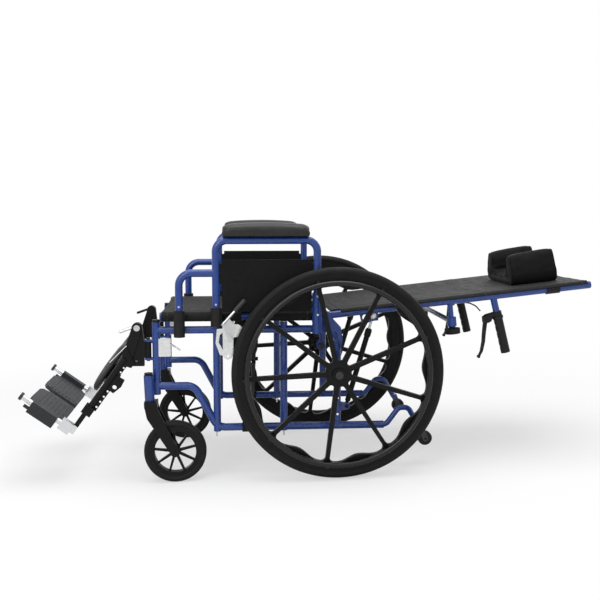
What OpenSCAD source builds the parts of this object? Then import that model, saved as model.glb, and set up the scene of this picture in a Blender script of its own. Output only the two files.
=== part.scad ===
// Reclining wheelchair with a cross-braced folding frame, elevating legrests and a headrest.
// X is across the chair with +X on the user's left, +Y is to the rear, Z is up, floor at 0.
// Side-view places are [y, z] in a frame whose origin is on the floor under the rear axle.
// The right side is the left side mirrored.

/* [Overall] */
// Distance between the centre lines of the two side frames
frame_w = 436; // [410:1:480]
// Outer diameter of the rear wheels
wheel_d = 610; // [590:1:630]
// Outer diameter of the caster wheels
caster_d = 180; // [160:1:190]
// Lean of the frame, front end up, in degrees
rake = 2; // [0:0.5:3]

/* [Side frame] */
// Diameter of the frame tubes
tube_d = 22; // [20:0.5:24]
// Front post, from the rear axle
front_post_y = -521; // [-540:1:-510]
// Middle post, from the rear axle
mid_post_y = -347; // [-360:1:-335]
// Rear middle post, from the rear axle
lock_post_y = -152; // [-170:1:-130]
// Rear post, from the rear axle
rear_post_y = 6; // [0:1:12]
// Height of the lower rail
lower_rail_z = 135; // [125:1:150]
// Height of the stepped tube behind the caster head
step_rail_z = 260; // [250:1:270]
// Height of the upper rail
upper_rail_z = 424; // [415:1:430]
// Height of the seat rails' centre line
seat_rail_z = 463; // [458:1:470]
// Inner bend radius measure of the frame tubes, on the centre line
frame_bend_r = 40; // [30:1:50]
// End of the lower rail behind the axle
lower_rail_end_y = 145; // [130:1:155]

/* [Rear wheels] */
// Wheel centre plane, outside the side frame's centre plane
wheel_out = 78; // [74:1:84]
// Width of the rear tyre
tyre_w = 26; // [22:1:28]
// Height of the rear tyre over its rim
tyre_h = 19; // [16:1:22]
// Radial depth of the rim band beside a spoke
rim_h = 26; // [22:1:30]
// Further depth of the rim band between two spokes
scallop_h = 16; // [12:1:22]
// Number of spokes on a rear wheel
wheel_spokes = 9; // [6:1:12]
// Width of a rear wheel spoke at the rim
spoke_w = 12; // [9:1:20]
// Width of a rear wheel spoke at the hub
spoke_root_w = 15; // [12:1:22]
// Lateral thickness of a rear wheel spoke
spoke_t = 15; // [10:1:18]
// Diameter of the rear wheel hub
hub_d = 66; // [60:1:84]
// Diameter of the handrim on its tube centre
handrim_d = 522; // [510:1:535]
// Diameter of the handrim tube
handrim_tube_d = 16; // [13:0.5:19]
// Handrim centre plane, outside the wheel's centre plane
handrim_out = 27; // [25:0.5:32]
// Diameter of the rear axle
axle_d = 12; // [10:0.5:16]

/* [Casters] */
// Caster stem, outside the side frame's centre plane
caster_out = 25; // [25:0.5:32]
// Caster stem ahead of the front post
caster_ahead = 20; // [16:1:24]
// Caster wheel centre behind its stem
caster_trail = 66; // [55:1:70]
// Width of the caster tyre
caster_w = 30; // [24:1:34]
// Height of the caster tyre over its rim
caster_tyre_h = 21; // [14:1:24]
// Number of spokes in a caster wheel
caster_spokes = 9; // [6:1:12]
// Outer diameter of the caster head
head_d = 28; // [26:0.5:30]
// Height of the caster head
head_h = 74; // [66:1:80]
// Diameter of the caster stem
stem_d = 12; // [10:0.5:14]

/* [Armrests] */
// Armrest centre plane, outside the side frame's centre plane
arm_out = 33; // [32:0.5:38]
// Height of the armrest's top tube
arm_top_z = 684; // [660:1:710]
// Height of the armrest's front loop
loop_z = 591; // [575:1:610]
// Front leg of the armrest's loop
loop_y = -452; // [-462:1:-440]
// Rear leg of the armrest
arm_rear_y = -57; // [-64:1:-52]
// Top of the rear armrest socket
rear_socket_z = 533; // [515:1:550]
// Length of the arm pad
pad_l = 254; // [235:1:262]
// Width of the arm pad
pad_w = 58; // [50:1:70]
// Thickness of the arm pad with its board
pad_h = 40; // [34:1:46]
// Thickness of the side panel
panel_t = 4; // [3:0.5:6]
// From the side panel's top edge up to the centre of the armrest's top tube
panel_drop = 55; // [42:1:75]
// Bottom edge of the side panel
panel_z = 479; // [470:1:486]

/* [Seat and back] */
// Front end of the seat rails
seat_front_y = -507; // [-515:1:-500]
// Rear end of the seat rails
seat_rear_y = -64; // [-75:1:-60]
// Thickness of the seat sling
seat_t = 9; // [6:0.5:12]
// Sag of the seat sling at its middle
seat_sag = 10; // [4:1:16]
// Recline hinge, from the rear axle
hinge_y = -30; // [-32:1:-24]
// Length of a back cane above its hinge
cane_l = 795; // [770:1:830]
// Angle of the back canes over the frame's level, in degrees
cane_angle = 6.2; // [4:0.2:9]
// Thickness of the back sling
back_t = 9; // [6:0.5:12]
// Sag of the back sling at its middle
back_sag = 8; // [4:1:14]
// Push handle's place along a cane
handle_at = 501; // [480:1:520]
// Tilt of the push handle towards the head, in degrees
handle_tilt = 8; // [0:1:12]
// Length of the push handle tube below the cane's centre
handle_l = 168; // [150:1:180]
// Length of the push grip
grip_l = 112; // [100:1:122]
// Diameter of the push grip
grip_d = 27; // [25:0.5:32]
// Spreader bar's place along a cane
spreader_at = 371; // [350:1:385]
// Headrest's middle along a cane
headrest_at = 661; // [640:1:680]
// Length of the headrest along the canes
headrest_l = 144; // [130:1:170]
// Width of the headrest between its wings' outer faces
headrest_w = 272; // [250:1:300]
// Height of the headrest's wings over the sling
headrest_h = 98; // [80:1:110]

/* [Legrests] */
// Legrest's elevation pivot ahead of the front post
leg_pivot_ahead = 54; // [50:1:60]
// Height of the legrest's elevation pivot
leg_pivot_z = 432; // [425:1:440]
// Legrest angle below the frame's level, in degrees
leg_angle = 54; // [45:1:60]
// Diameter of the leg tube
leg_tube_d = 19; // [17:0.5:20]
// Footplate hinge's place along the leg
foot_at = 352; // [340:1:370]
// Footplate width across the chair
foot_w = 186; // [170:1:188]
// Footplate length from heel to toe
foot_l = 120; // [110:1:130]
// Thickness of the footplate
foot_t = 12; // [9:1:13]
// Width of the calf pad across the chair
calf_w = 94; // [80:1:96]
// Length of the calf pad along the leg
calf_l = 165; // [140:1:180]
// Thickness of the calf pad
calf_t = 22; // [18:1:24]

/* [Hidden] */
$fn = 48;

// Clearances
run_gap = 0.05;
slide_gap = 0.1;
side_gap = 0.4;
soft_gap = 0.3;

// Colours
frame_blue = "#2b4596";
black_plastic = "#1b1b1d";
black_fabric = "#26272a";
silver_metal = "#c9ccd0";
tyre_black = "#161617";
plate_grey = "#3c3f44";

// Places that follow from the sizes above
side_x = frame_w / 2;
tube_r = tube_d / 2;
wheel_r = wheel_d / 2;
wheel_x = side_x + wheel_out;
caster_r = caster_d / 2;
arm_x = side_x + arm_out;
origin_shift_y = 74;

// Side-view outline helpers

// Moves from the frame's own leaning coordinates to the floor's, turning about the rear axle
module leaned() {
    translate([0, origin_shift_y, wheel_r])
        rotate([-rake, 0, 0])
            translate([0, 0, -wheel_r])
                children();
}

// Upright pieces, such as wheels and casters
module upright() {
    translate([0, origin_shift_y, 0])
        children();
}

module right() {
    mirror([1, 0, 0])
        children();
}

// A [y, z] place in the leaning frame, given over the floor under the rear axle
function on_floor(p) = [
    p[0] * cos(rake) + (p[1] - wheel_r) * sin(rake),
    wheel_r - p[0] * sin(rake) + (p[1] - wheel_r) * cos(rake)];

// Turns a flat [y, z] drawing, extruded in its own z, to stand across x
module across(x) {
    translate([x, 0, 0])
        rotate([90, 0, 90])
            children();
}

// A plate with a [y, z] outline, from x0 to x1
module side_plate(x0, x1) {
    across(x0)
        linear_extrude(x1 - x0)
            children();
}

module rod(a, b, d) {
    v = b - a;
    l = norm(v);
    translate(a)
        rotate([0, acos(v[2] / l), atan2(v[1], v[0])])
            cylinder(h = l, d = d);
}

module pin_x(x0, x1, p, d) {
    across(x0)
        translate(p)
            cylinder(h = x1 - x0, d = d);
}

module block(x, y, z) {
    translate([x[0], y[0], z[0]])
        cube([x[1] - x[0], y[1] - y[0], z[1] - z[0]]);
}

function unit(v) = v / norm(v);
function turn_at(a, b, c) =
    let (u = unit(b - a), v = unit(c - b))
        atan2(u[0] * v[1] - u[1] * v[0], u * v);
// Length that a bend of radius r takes off each side of the corner b
function bend_leg(a, b, c, r) = r * tan(abs(turn_at(a, b, c)) / 2);

// A tube of diameter d along a [y, z] path, with bends of radius r, in the plane at x.
// The bends are a little thicker than the straight lengths that run into them.
bend_swell = 0.2;
bend_lap = 0.5;
module bent_tube(path, d, r, x) {
    n = len(path);
    leg = [for (i = [0:n - 1])
        i == 0 || i == n - 1 ? 0 : bend_leg(path[i - 1], path[i], path[i + 1], r)];
    for (i = [0:n - 2]) {
        u = unit(path[i + 1] - path[i]);
        a = path[i] + u * max(0, leg[i] - bend_lap);
        b = path[i + 1] - u * max(0, leg[i + 1] - bend_lap);
        if (norm(b - a) > 0.01)
            rod([x, a[0], a[1]], [x, b[0], b[1]], d);
    }
    if (n > 2)
        for (i = [1:n - 2]) {
            u = unit(path[i] - path[i - 1]);
            v = unit(path[i + 1] - path[i]);
            turn = turn_at(path[i - 1], path[i], path[i + 1]);
            centre = path[i] + unit(v - u) * r / cos(turn / 2);
            first = turn > 0 ? path[i] - u * leg[i] : path[i] + v * leg[i];
            from = first - centre;
            across(x)
                translate(centre)
                    rotate([0, 0, atan2(from[1], from[0])])
                        rotate_extrude(angle = abs(turn))
                            translate([r, 0])
                                circle(d = d + bend_swell);
        }
}

// A closed skin over flat rings of equal length that run clockwise, capped at both ends
module loft(rings) {
    n = len(rings[0]);
    m = len(rings);
    faces = concat(
        [for (i = [0:m - 2], j = [0:n - 1], k = [0:1])
            k == 0
                ? [i * n + j, (i + 1) * n + j, (i + 1) * n + (j + 1) % n]
                : [i * n + j, (i + 1) * n + (j + 1) % n, i * n + (j + 1) % n]],
        [[for (j = [0:n - 1]) j], [for (j = [n - 1:-1:0]) (m - 1) * n + j]]);
    polyhedron([for (ring = rings, p = ring) p], faces, convexity = 6);
}

// Points of a rounded rectangle section: half sizes a and b, roundness e
function section(a, b, e, n) = [for (i = [0:n - 1])
    let (t = -360 * i / n, c = cos(t), s = sin(t))
        [a * sign(c) * pow(abs(c), e), b * sign(s) * pow(abs(s), e)]];

// Side frame

// Tubes that meet differ a little in diameter, so that their crossing curves are clean
front_post_d = tube_d + 0.4;
inner_post_d = tube_d - 0.5;
upper_tube_d = tube_d - 0.2;
upper_rail_back_y = rear_post_y;
step_bend_y = front_post_y + 109;
post_bottom_z = lower_rail_z - tube_r;
post_top_z = seat_rail_z - tube_r - 5;
post_a_bottom_z = step_rail_z - 24;
post_a_top_z = upper_rail_z + 23;
caster_x = side_x + caster_out;
caster_head_at = on_floor([front_post_y - caster_ahead, step_rail_z]);
head_bottom_z = caster_head_at[1] - head_h / 2;
head_top_z = head_bottom_z + head_h;
hinge = [hinge_y, seat_rail_z];
hinge_hub_d = 28;
hinge_pin_d = 10;
hinge_plate_t = 6;
hinge_plate_x = side_x + tube_r - 1;
swing_y = front_post_y - 23;
swing_lug_z = [upper_rail_z - 86, upper_rail_z - 32];
swing_lug_t = 6;
swing_pin_d = 10;
lug_w = 20;
anti_tip_d = 16;
anti_tip_seat = 55;
axle_boss_d = 30;
axle_boss_end = wheel_out - 26;
rear_socket_d = 29;

// Recline cylinder: its foot on the rear post and its head on the cane, at rest
cylinder_x = side_x - 22;
cylinder_foot = [36, 190];
cylinder_head_along = 143;
cylinder_head_below = 20;
cylinder_pin_d = 8;
lug_gap = 0.6;
lug_x = cylinder_x + 6 + lug_gap;
cane_dir = [cos(cane_angle), sin(cane_angle)];
cane_down = [sin(cane_angle), -cos(cane_angle)];
function on_cane(along, below) = hinge + cane_dir * along + cane_down * below;
cylinder_head = on_cane(cylinder_head_along, cylinder_head_below);

module side_frame() {
    color(frame_blue) {
        leaned()
            difference() {
                union() {
                    rod([side_x, front_post_y, post_a_bottom_z], [side_x, front_post_y, post_a_top_z],
                        front_post_d);
                    bent_tube([[front_post_y, upper_rail_z], [upper_rail_back_y, upper_rail_z],
                        [upper_rail_back_y, lower_rail_z]], upper_tube_d, frame_bend_r, side_x);
                    bent_tube([[front_post_y, step_rail_z], [step_bend_y, step_rail_z],
                        [mid_post_y, lower_rail_z], [lower_rail_end_y, lower_rail_z]], tube_d,
                        frame_bend_r, side_x);
                    for (y = [mid_post_y, lock_post_y])
                        rod([side_x, y, post_bottom_z], [side_x, y, post_top_z], inner_post_d);
                    pin_x(side_x - tube_r, side_x + axle_boss_end, [0, wheel_r], axle_boss_d);
                    swing_lugs();
                    hinge_bracket();
                    cylinder_bracket();
                    rear_arm_socket();
                }
                rod([side_x, lower_rail_end_y - anti_tip_seat, lower_rail_z],
                    [side_x, lower_rail_end_y + 1, lower_rail_z], anti_tip_d + 2 * slide_gap);
                pin_x(side_x - tube_d, side_x + wheel_out, [0, wheel_r], axle_d + 2 * run_gap);
                pin_x(hinge_plate_x - tube_r, hinge_plate_x + tube_r, hinge, hinge_pin_d + 2 * run_gap);
                rod([arm_x, arm_rear_y, upper_rail_z + 10], [arm_x, arm_rear_y, rear_socket_z + 1],
                    tube_d + 2 * slide_gap);
            }
        caster_head();
    }
}

module swing_lugs() {
    for (z = swing_lug_z)
        difference() {
            union() {
                block([side_x - lug_w / 2, side_x + lug_w / 2], [swing_y, front_post_y], [z, z + swing_lug_t]);
                rod([side_x, swing_y, z], [side_x, swing_y, z + swing_lug_t], lug_w);
            }
            rod([side_x, swing_y, z - 1], [side_x, swing_y, z + swing_lug_t + 1], swing_pin_d + 2 * run_gap);
        }
}

module hinge_bracket() {
    side_plate(hinge_plate_x, hinge_plate_x + hinge_plate_t) {
        polygon([[hinge_y - 34, upper_rail_z - 8], [rear_post_y - 6, upper_rail_z - 8],
            [rear_post_y + 10, upper_rail_z - 60], [rear_post_y + 14, upper_rail_z - 30],
            [rear_post_y + 8, upper_rail_z + 6], hinge + [hinge_hub_d / 2, 0],
            hinge - [hinge_hub_d / 2, 0]]);
        translate(hinge)
            circle(d = hinge_hub_d);
    }
}

module cylinder_bracket() {
    difference() {
        side_plate(lug_x, side_x - tube_r + 4) {
            polygon([[rear_post_y, cylinder_foot[1] - 16], cylinder_foot - [0, 10],
                cylinder_foot + [0, 10], [rear_post_y, cylinder_foot[1] + 16]]);
            translate(cylinder_foot)
                circle(d = 20);
        }
        pin_x(lug_x - 1, side_x, cylinder_foot, cylinder_pin_d + 2 * run_gap);
    }
}

module rear_arm_socket() {
    rod([arm_x, arm_rear_y, upper_rail_z - 9], [arm_x, arm_rear_y, rear_socket_z], rear_socket_d);
    pin_x(side_x, arm_x, [arm_rear_y, upper_rail_z], tube_d - 2);
}

// The head stands upright, so that the caster turns level
module caster_head() {
    foot = on_floor([front_post_y, step_rail_z]);
    upright()
        difference() {
            union() {
                rod([caster_x, caster_head_at[0], head_bottom_z], [caster_x, caster_head_at[0], head_top_z],
                    head_d);
                hull() {
                    rod([caster_x, caster_head_at[0], foot[1] - 18],
                        [caster_x, caster_head_at[0], foot[1] + 16], 12, $fn = 32);
                    rod([side_x, foot[0], foot[1] - 18], [side_x, foot[0], foot[1] + 16], 12, $fn = 32);
                }
            }
            rod([caster_x, caster_head_at[0], head_bottom_z - 1], [caster_x, caster_head_at[0], head_top_z + 1],
                stem_d + 2 * run_gap);
        }
}

// Sockets for the armrest's front legs, of black plastic, clamped round the frame tubes

socket_wall = 5;
front_socket_top = upper_rail_z + 60;
mid_socket_top = upper_rail_z + 68;
arm_leg_end_z = upper_rail_z - 6;

module arm_sockets() {
    color(black_plastic)
        leaned()
            difference() {
                union() {
                    arm_socket(loop_y, upper_rail_z - 16, front_socket_top);
                    arm_socket(mid_post_y, upper_rail_z + 14, mid_socket_top);
                    rod([side_x, front_post_y, post_a_top_z], [side_x, front_post_y, post_a_top_z + 8],
                        tube_d - 1);
                }
                rod([side_x, front_post_y, upper_rail_z], [side_x, rear_post_y, upper_rail_z], tube_d);
                rod([side_x, mid_post_y, lower_rail_z], [side_x, mid_post_y, post_top_z + 2], tube_d);
                rod([arm_x, loop_y, upper_rail_z - 20], [arm_x, loop_y, front_socket_top + 1],
                    tube_d + 2 * slide_gap);
                rod([arm_x, mid_post_y, upper_rail_z + 18], [arm_x, mid_post_y, mid_socket_top + 1],
                    tube_d + 2 * slide_gap);
            }
}

// The sleeve and the bracket that holds it are two pieces, seated on each other
module arm_socket(y, z0, z1) {
    outer = tube_d + 2 * socket_wall;
    rod([arm_x, y, z0], [arm_x, y, z1], outer);
    difference() {
        block([side_x + 4, arm_x - outer / 2 + 1.4], [y - 8, y + 8], [z0, min(z1, upper_rail_z + 24)]);
        rod([arm_x, y, z0 - 1], [arm_x, y, z1 + 1], outer + 0.1);
    }
}

// Metal hardware on the side frame: axle, wheel lock plate, latch, seat rail rests and bolts

hub_half = 25;
axle_end_x = wheel_x + hub_half + side_gap;
lock_pivot = [-303, 436];
lock_plate_x = arm_x + tube_r + 4;
lock_plate_t = 4;
lock_shoe = [-307, 406];
lock_shoe_d = 14;
lock_pin_d = 8;
latch_z = [348, 400];
button_d = 6;

module hardware() {
    color(silver_metal)
        leaned() {
            axle();
            lock_plate();
            latch();
            seat_rests();
            rail_bolts();
        }
}

module axle() {
    inner_x = side_x - tube_r;
    pin_x(inner_x - 2, axle_end_x + 4, [0, wheel_r], axle_d);
    pin_x(inner_x - 9, inner_x - 0.2, [0, wheel_r], 19);
    pin_x(axle_end_x, axle_end_x + 7, [0, wheel_r], 22);
}

// The plate stands off the upper rail and holds the lock lever's pin
module lock_plate() {
    plate = [[-329, 446], [-284, 446], [-270, 436], [-287, 410], [-298, 408], [-299, 358],
        [-304, 348], [-314, 344], [-324, 348], [-328, 356]];
    link = [[-345, 433], [-327, 434], [-327, 424], [-337, 416], [-340, 394], [-327, 370], [-327, 356],
        [-337, 358], [-349, 392]];
    difference() {
        union() {
            side_plate(lock_plate_x, lock_plate_x + lock_plate_t)
                polygon(plate);
            side_plate(lock_plate_x + 1, lock_plate_x + lock_plate_t - 0.5)
                polygon(link);
            block([side_x + 4, lock_plate_x + 1], [-322, -282],
                [upper_rail_z - tube_r - 3, upper_rail_z + tube_r + 3]);
        }
        rod([side_x, front_post_y, upper_rail_z], [side_x, rear_post_y, upper_rail_z], tube_d);
        pin_x(lock_plate_x - 20, lock_plate_x + tube_r, lock_pivot, lock_pin_d + 2 * run_gap);
        pin_x(lock_plate_x - 1, lock_plate_x + tube_r, [-314, 354], 7);
    }
}

module latch() {
    y0 = front_post_y + tube_r;
    difference() {
        block([side_x - 9, side_x + 9], [y0 - 4, y0 + 30], latch_z);
        rod([side_x, front_post_y, latch_z[0] - 1], [side_x, front_post_y, latch_z[1] + 1], front_post_d);
    }
    rod([side_x, y0 + 26, latch_z[1] - 14], [side_x, y0 + 58, latch_z[0] + 16], 5);
}

module seat_rests() {
    for (y = [mid_post_y, lock_post_y])
        rod([side_x, y, post_top_z], [side_x, y, post_top_z + 1.1], tube_d - 2);
}

module rail_bolts() {
    for (y = [mid_post_y - 2, lock_post_y])
        rod([side_x, y, post_bottom_z - 16], [side_x, y, post_bottom_z], 5);
    for (z = [rear_socket_z - 9, rear_socket_z - 62])
        pin_x(arm_x + rear_socket_d / 2 + 0.05, arm_x + rear_socket_d / 2 + 3, [arm_rear_y, z], button_d);
    for (z = [lower_rail_z + 36, lower_rail_z + 84, lower_rail_z + 122])
        pin_x(side_x + tube_r + 0.05, side_x + tube_r + 2, [rear_post_y, z], 7);
}

module lock_lever() {
    x0 = lock_plate_x + lock_plate_t + side_gap;
    x1 = x0 + 5;
    stem = lock_pivot + [-24, 12];
    grip_end = lock_pivot + [34, 76];
    color(silver_metal)
        leaned()
            difference() {
                union() {
                    side_plate(x0, x1) {
                        polygon([lock_pivot + [10, 6], lock_pivot + [-8, 30], lock_pivot + [-30, 10],
                            lock_pivot + [-22, 2], lock_shoe + [-8, 0], lock_shoe + [8, 0]]);
                        translate(lock_shoe)
                            circle(r = 8);
                        translate(lock_pivot)
                            circle(r = 12);
                    }
                    pin_x(x0, wheel_x + tyre_w / 2 - 2, lock_shoe, lock_shoe_d);
                    pin_x(lock_plate_x - 6, x1, lock_pivot, lock_pin_d);
                    rod([x0 + 4.5, stem[0], stem[1]], [x0 + 4.5, grip_end[0], grip_end[1]], 8);
                    rod([x0 + 4.5, grip_end[0] - 24, grip_end[1] - 26.5],
                        [x0 + 4.5, grip_end[0], grip_end[1]], 14);
                    translate([x0 + 4.5, grip_end[0], grip_end[1]])
                        sphere(d = 14.6);
                }
            }
}

// Anti-tipper: a bent tube in the end of the lower rail, with its wheel

tipper_wheel = [270, 92];
tipper_wheel_d = 42;
tipper_wheel_w = 22;
tipper_fork_t = 3;

module anti_tipper() {
    start = [lower_rail_end_y - anti_tip_seat + 2, lower_rail_z];
    end = tipper_wheel + [-16, 30];
    fork_x = tipper_wheel_w / 2 + side_gap;
    color(frame_blue)
        leaned()
            difference() {
                union() {
                    bent_tube([start, [lower_rail_end_y + 8, lower_rail_z], [190, 185], [219, 185], end],
                        anti_tip_d, 20, side_x);
                    for (s = [-1, 1])
                        side_plate(side_x + s * (fork_x + tipper_fork_t / 2) - tipper_fork_t / 2,
                            side_x + s * (fork_x + tipper_fork_t / 2) + tipper_fork_t / 2) {
                            polygon([end + [-9, 8], end + [9, 10], tipper_wheel + [8, 2],
                                tipper_wheel + [-8, -2]]);
                            translate(tipper_wheel)
                                circle(r = 8);
                        }
                    block([side_x - fork_x - tipper_fork_t, side_x + fork_x + tipper_fork_t],
                        [end[0] - 9, end[0] + 8], [end[1] + 2, end[1] + 10]);
                }
                pin_x(side_x - tube_d, side_x + tube_d, tipper_wheel, 6 + 2 * run_gap);
            }
}

module anti_tip_wheel() {
    half = tipper_wheel_w / 2;
    color(black_plastic)
        leaned() {
            across(side_x - half)
                translate(tipper_wheel)
                    rotate_extrude()
                        polygon([[3, 0], [tipper_wheel_d / 2 - 3, 0], [tipper_wheel_d / 2, 4],
                            [tipper_wheel_d / 2, tipper_wheel_w - 4], [tipper_wheel_d / 2 - 3, tipper_wheel_w],
                            [3, tipper_wheel_w]]);
            pin_x(side_x - half - 6, side_x + half + 6, tipper_wheel, 6);
        }
}

// Rear wheel: tyre, moulded wheel with scalloped rim, and handrim

rim_r = wheel_r - tyre_h;
rim_w = tyre_w - 3;
rim_in_r = rim_r - rim_h;
hub_r = hub_d / 2;
first_spoke = 21;

// Turns a piece drawn about its own z to spin about the rear axle
module on_wheel(x) {
    upright()
        across(x)
            translate([0, wheel_r])
                children();
}

module wheel_tyre() {
    color(tyre_black)
        on_wheel(wheel_x)
            difference() {
                rotate_extrude($fn = 96)
                    translate([wheel_r - tyre_w / 2, 0])
                        circle(d = tyre_w);
                translate([0, 0, -tyre_w])
                    cylinder(r = rim_r, h = 2 * tyre_w, $fn = 96);
            }
}

module wheel_rim() {
    color(black_plastic)
        on_wheel(wheel_x)
            difference() {
                union() {
                    rim_band();
                    wheel_disc();
                    wheel_hub();
                }
                translate([0, 0, -2 * hub_half])
                    cylinder(d = axle_d + 2 * run_gap, h = 4 * hub_half);
            }
}

module wheel_hub() {
    flange = spoke_t / 2 + 1;
    rotate_extrude()
        polygon([[axle_d / 3, -hub_half], [hub_r * 0.62, -hub_half], [hub_r, -flange], [hub_r, flange],
            [hub_r * 0.6, flange + 3], [hub_r * 0.55, hub_half], [axle_d / 3, hub_half]]);
}

module rim_band() {
    difference() {
        translate([0, 0, -rim_w / 2])
            cylinder(r = rim_r, h = rim_w, $fn = 96);
        translate([0, 0, -rim_w])
            cylinder(r = rim_in_r, h = 2 * rim_w, $fn = 96);
    }
}

// Outline of the window between two spokes, centred on +x; u runs from -1 at one spoke to 1 at the next
function spoke_half(r) = (spoke_root_w + (spoke_w - spoke_root_w) * (r - hub_r) / (rim_in_r - hub_r)) / 2;
function window_half(r) = 180 / wheel_spokes - asin(spoke_half(r) / r);
function window_point(r, u) = r * [cos(window_half(r) * u), sin(window_half(r) * u)];
// How far a fillet of the given size closes the window's corner, at radius r
function corner(u, size, r) =
    let (away = size - (1 - abs(u)) * window_half(r) * PI / 180 * r)
        away > 0 ? size - sqrt(size * size - away * away) : 0;
// How far the rim band swells towards the hub between two spokes
function scallop(u) = abs(u) < 0.75 ? scallop_h * (1 + cos(180 * u / 0.75)) / 2 : 0;
window_in_r = hub_r + 5;
window_out_r = rim_in_r - 1.5;
window_outline = concat(
    [for (i = [-14:14]) let (u = sin(90 * i / 14))
        window_point(window_out_r - scallop(u) - corner(u, 14, window_out_r), u)],
    [for (i = [4:-1:-4]) let (u = sin(90 * i / 4))
        window_point(window_in_r + corner(u, 4, window_in_r), u)]);

// Spokes and scallops: what is left of a disc between its windows
module wheel_disc() {
    translate([0, 0, -spoke_t / 2])
        linear_extrude(spoke_t)
            difference() {
                circle(r = rim_in_r + 3, $fn = 96);
                for (i = [0:wheel_spokes - 1])
                    rotate(first_spoke + (i + 0.5) * 360 / wheel_spokes)
                        polygon(window_outline);
            }
}

module spokes(count, r0, r1, w0, w1, t, first) {
    for (i = [0:count - 1])
        rotate([0, 0, first + i * 360 / count])
            translate([0, 0, -t / 2])
                linear_extrude(t)
                    polygon([[r0 - 3, -w0 / 2], [r1 + 3, -w1 / 2], [r1 + 3, w1 / 2], [r0 - 3, w0 / 2]]);
}

module handrim() {
    ring_r = handrim_d / 2;
    lug_r = ring_r + 4;
    color(black_plastic)
        on_wheel(wheel_x) {
            translate([0, 0, handrim_out])
                rotate_extrude($fn = 96)
                    translate([ring_r, 0])
                        circle(d = handrim_tube_d);
            for (i = [0:wheel_spokes - 1])
                rotate([0, 0, first_spoke + i * 360 / wheel_spokes])
                    translate([lug_r + 4, 0, rim_w / 2])
                        cylinder(d = 9, h = handrim_out - rim_w / 2 - 2);
        }
}

// Caster: fork with its stem, moulded rim and tyre

caster_hub = [caster_head_at[0] + caster_trail, caster_r];
caster_rim_r = caster_r - caster_tyre_h;
fork_t = 5;
fork_gap = 3;
fork_in = caster_w / 2 + fork_gap;
crown_h = 18;
crown_top_z = head_bottom_z - side_gap;
caster_axle_d = 8;
caster_hub_d = 30;

module caster_fork() {
    y = caster_head_at[0];
    color(black_plastic)
        upright()
            difference() {
                union() {
                    block([caster_x - fork_in - fork_t, caster_x + fork_in + fork_t], [y - 15, y + 22],
                        [crown_top_z - crown_h, crown_top_z]);
                    rod([caster_x, y, crown_top_z - 2], [caster_x, y, head_top_z + 6], stem_d);
                    rod([caster_x, y, head_top_z + side_gap], [caster_x, y, head_top_z + 7], head_d - 4);
                    for (s = [-1, 1])
                        fork_leg(caster_x + s * (fork_in + fork_t / 2) - fork_t / 2);
                }
                pin_x(caster_x - tube_d * 2, caster_x + tube_d * 2, caster_hub,
                    caster_axle_d + 2 * run_gap);
            }
}

module fork_leg(x) {
    y = caster_head_at[0];
    top = crown_top_z - crown_h;
    side_plate(x, x + fork_t) {
        polygon([[y - 15, top + 6], [y + 22, top + 6], [y + 24, top - 6],
            caster_hub + [13, 2], caster_hub + [-11, -6], [y - 9, top - 30]]);
        translate(caster_hub)
            circle(r = 13);
    }
}

// Axle, washer and hub of a caster from its outer end to its middle, as [radius, place]
caster_hub_side =
    let (axle_end = fork_in + fork_t + 3, washer = caster_w / 2 + fork_gap - side_gap, hub = caster_w / 2 - 2)
        [[0, axle_end], [caster_axle_d / 2, axle_end], [caster_axle_d / 2, washer],
            [caster_hub_d * 0.35, washer], [caster_hub_d * 0.35, hub], [caster_hub_d / 2, hub]];

module caster_rim() {
    band_w = caster_w - 8;
    color(black_plastic)
        upright()
            across(caster_x)
                translate(caster_hub) {
                    difference() {
                        translate([0, 0, -band_w / 2])
                            cylinder(r = caster_rim_r, h = band_w);
                        translate([0, 0, -band_w])
                            cylinder(r = caster_rim_r - 9, h = 2 * band_w);
                    }
                    spokes(caster_spokes, caster_hub_d / 2, caster_rim_r - 9, 8, 6, 8, 12);
                    rotate_extrude()
                        polygon(concat(caster_hub_side, [for (i = [5:-1:0])
                            [caster_hub_side[i][0], -caster_hub_side[i][1]]]));
                }
}

module caster_tyre() {
    round_r = 9;
    half = caster_w / 2;
    color(tyre_black)
        upright()
            across(caster_x)
                translate(caster_hub)
                    rotate_extrude($fn = 72) {
                        translate([caster_rim_r, -half + 3])
                            square([caster_tyre_h - round_r, caster_w - 6]);
                        for (z = [-half + round_r, half - round_r])
                            translate([caster_r - round_r, z])
                                circle(r = round_r);
                        translate([caster_r - round_r, -half + round_r])
                            square([round_r, caster_w - 2 * round_r]);
                    }
}

// Armrest: tube frame that lifts out of its sockets, side panel and pad

arm_bend_r = 32;

module arm_frame() {
    color(frame_blue)
        leaned() {
            bent_tube([[mid_post_y, upper_rail_z + 24], [mid_post_y, arm_top_z], [arm_rear_y, arm_top_z],
                [arm_rear_y, upper_rail_z + 16]], tube_d, arm_bend_r, arm_x);
            bent_tube([[mid_post_y, loop_z], [loop_y, loop_z], [loop_y, arm_leg_end_z]],
                tube_d, arm_bend_r + 4, arm_x);
            for (p = [[loop_y, front_socket_top + 12], [mid_post_y, mid_socket_top + 10]])
                pin_x(arm_x + tube_r - 0.5, arm_x + tube_r + 2.5, p, button_d);
        }
}

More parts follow.
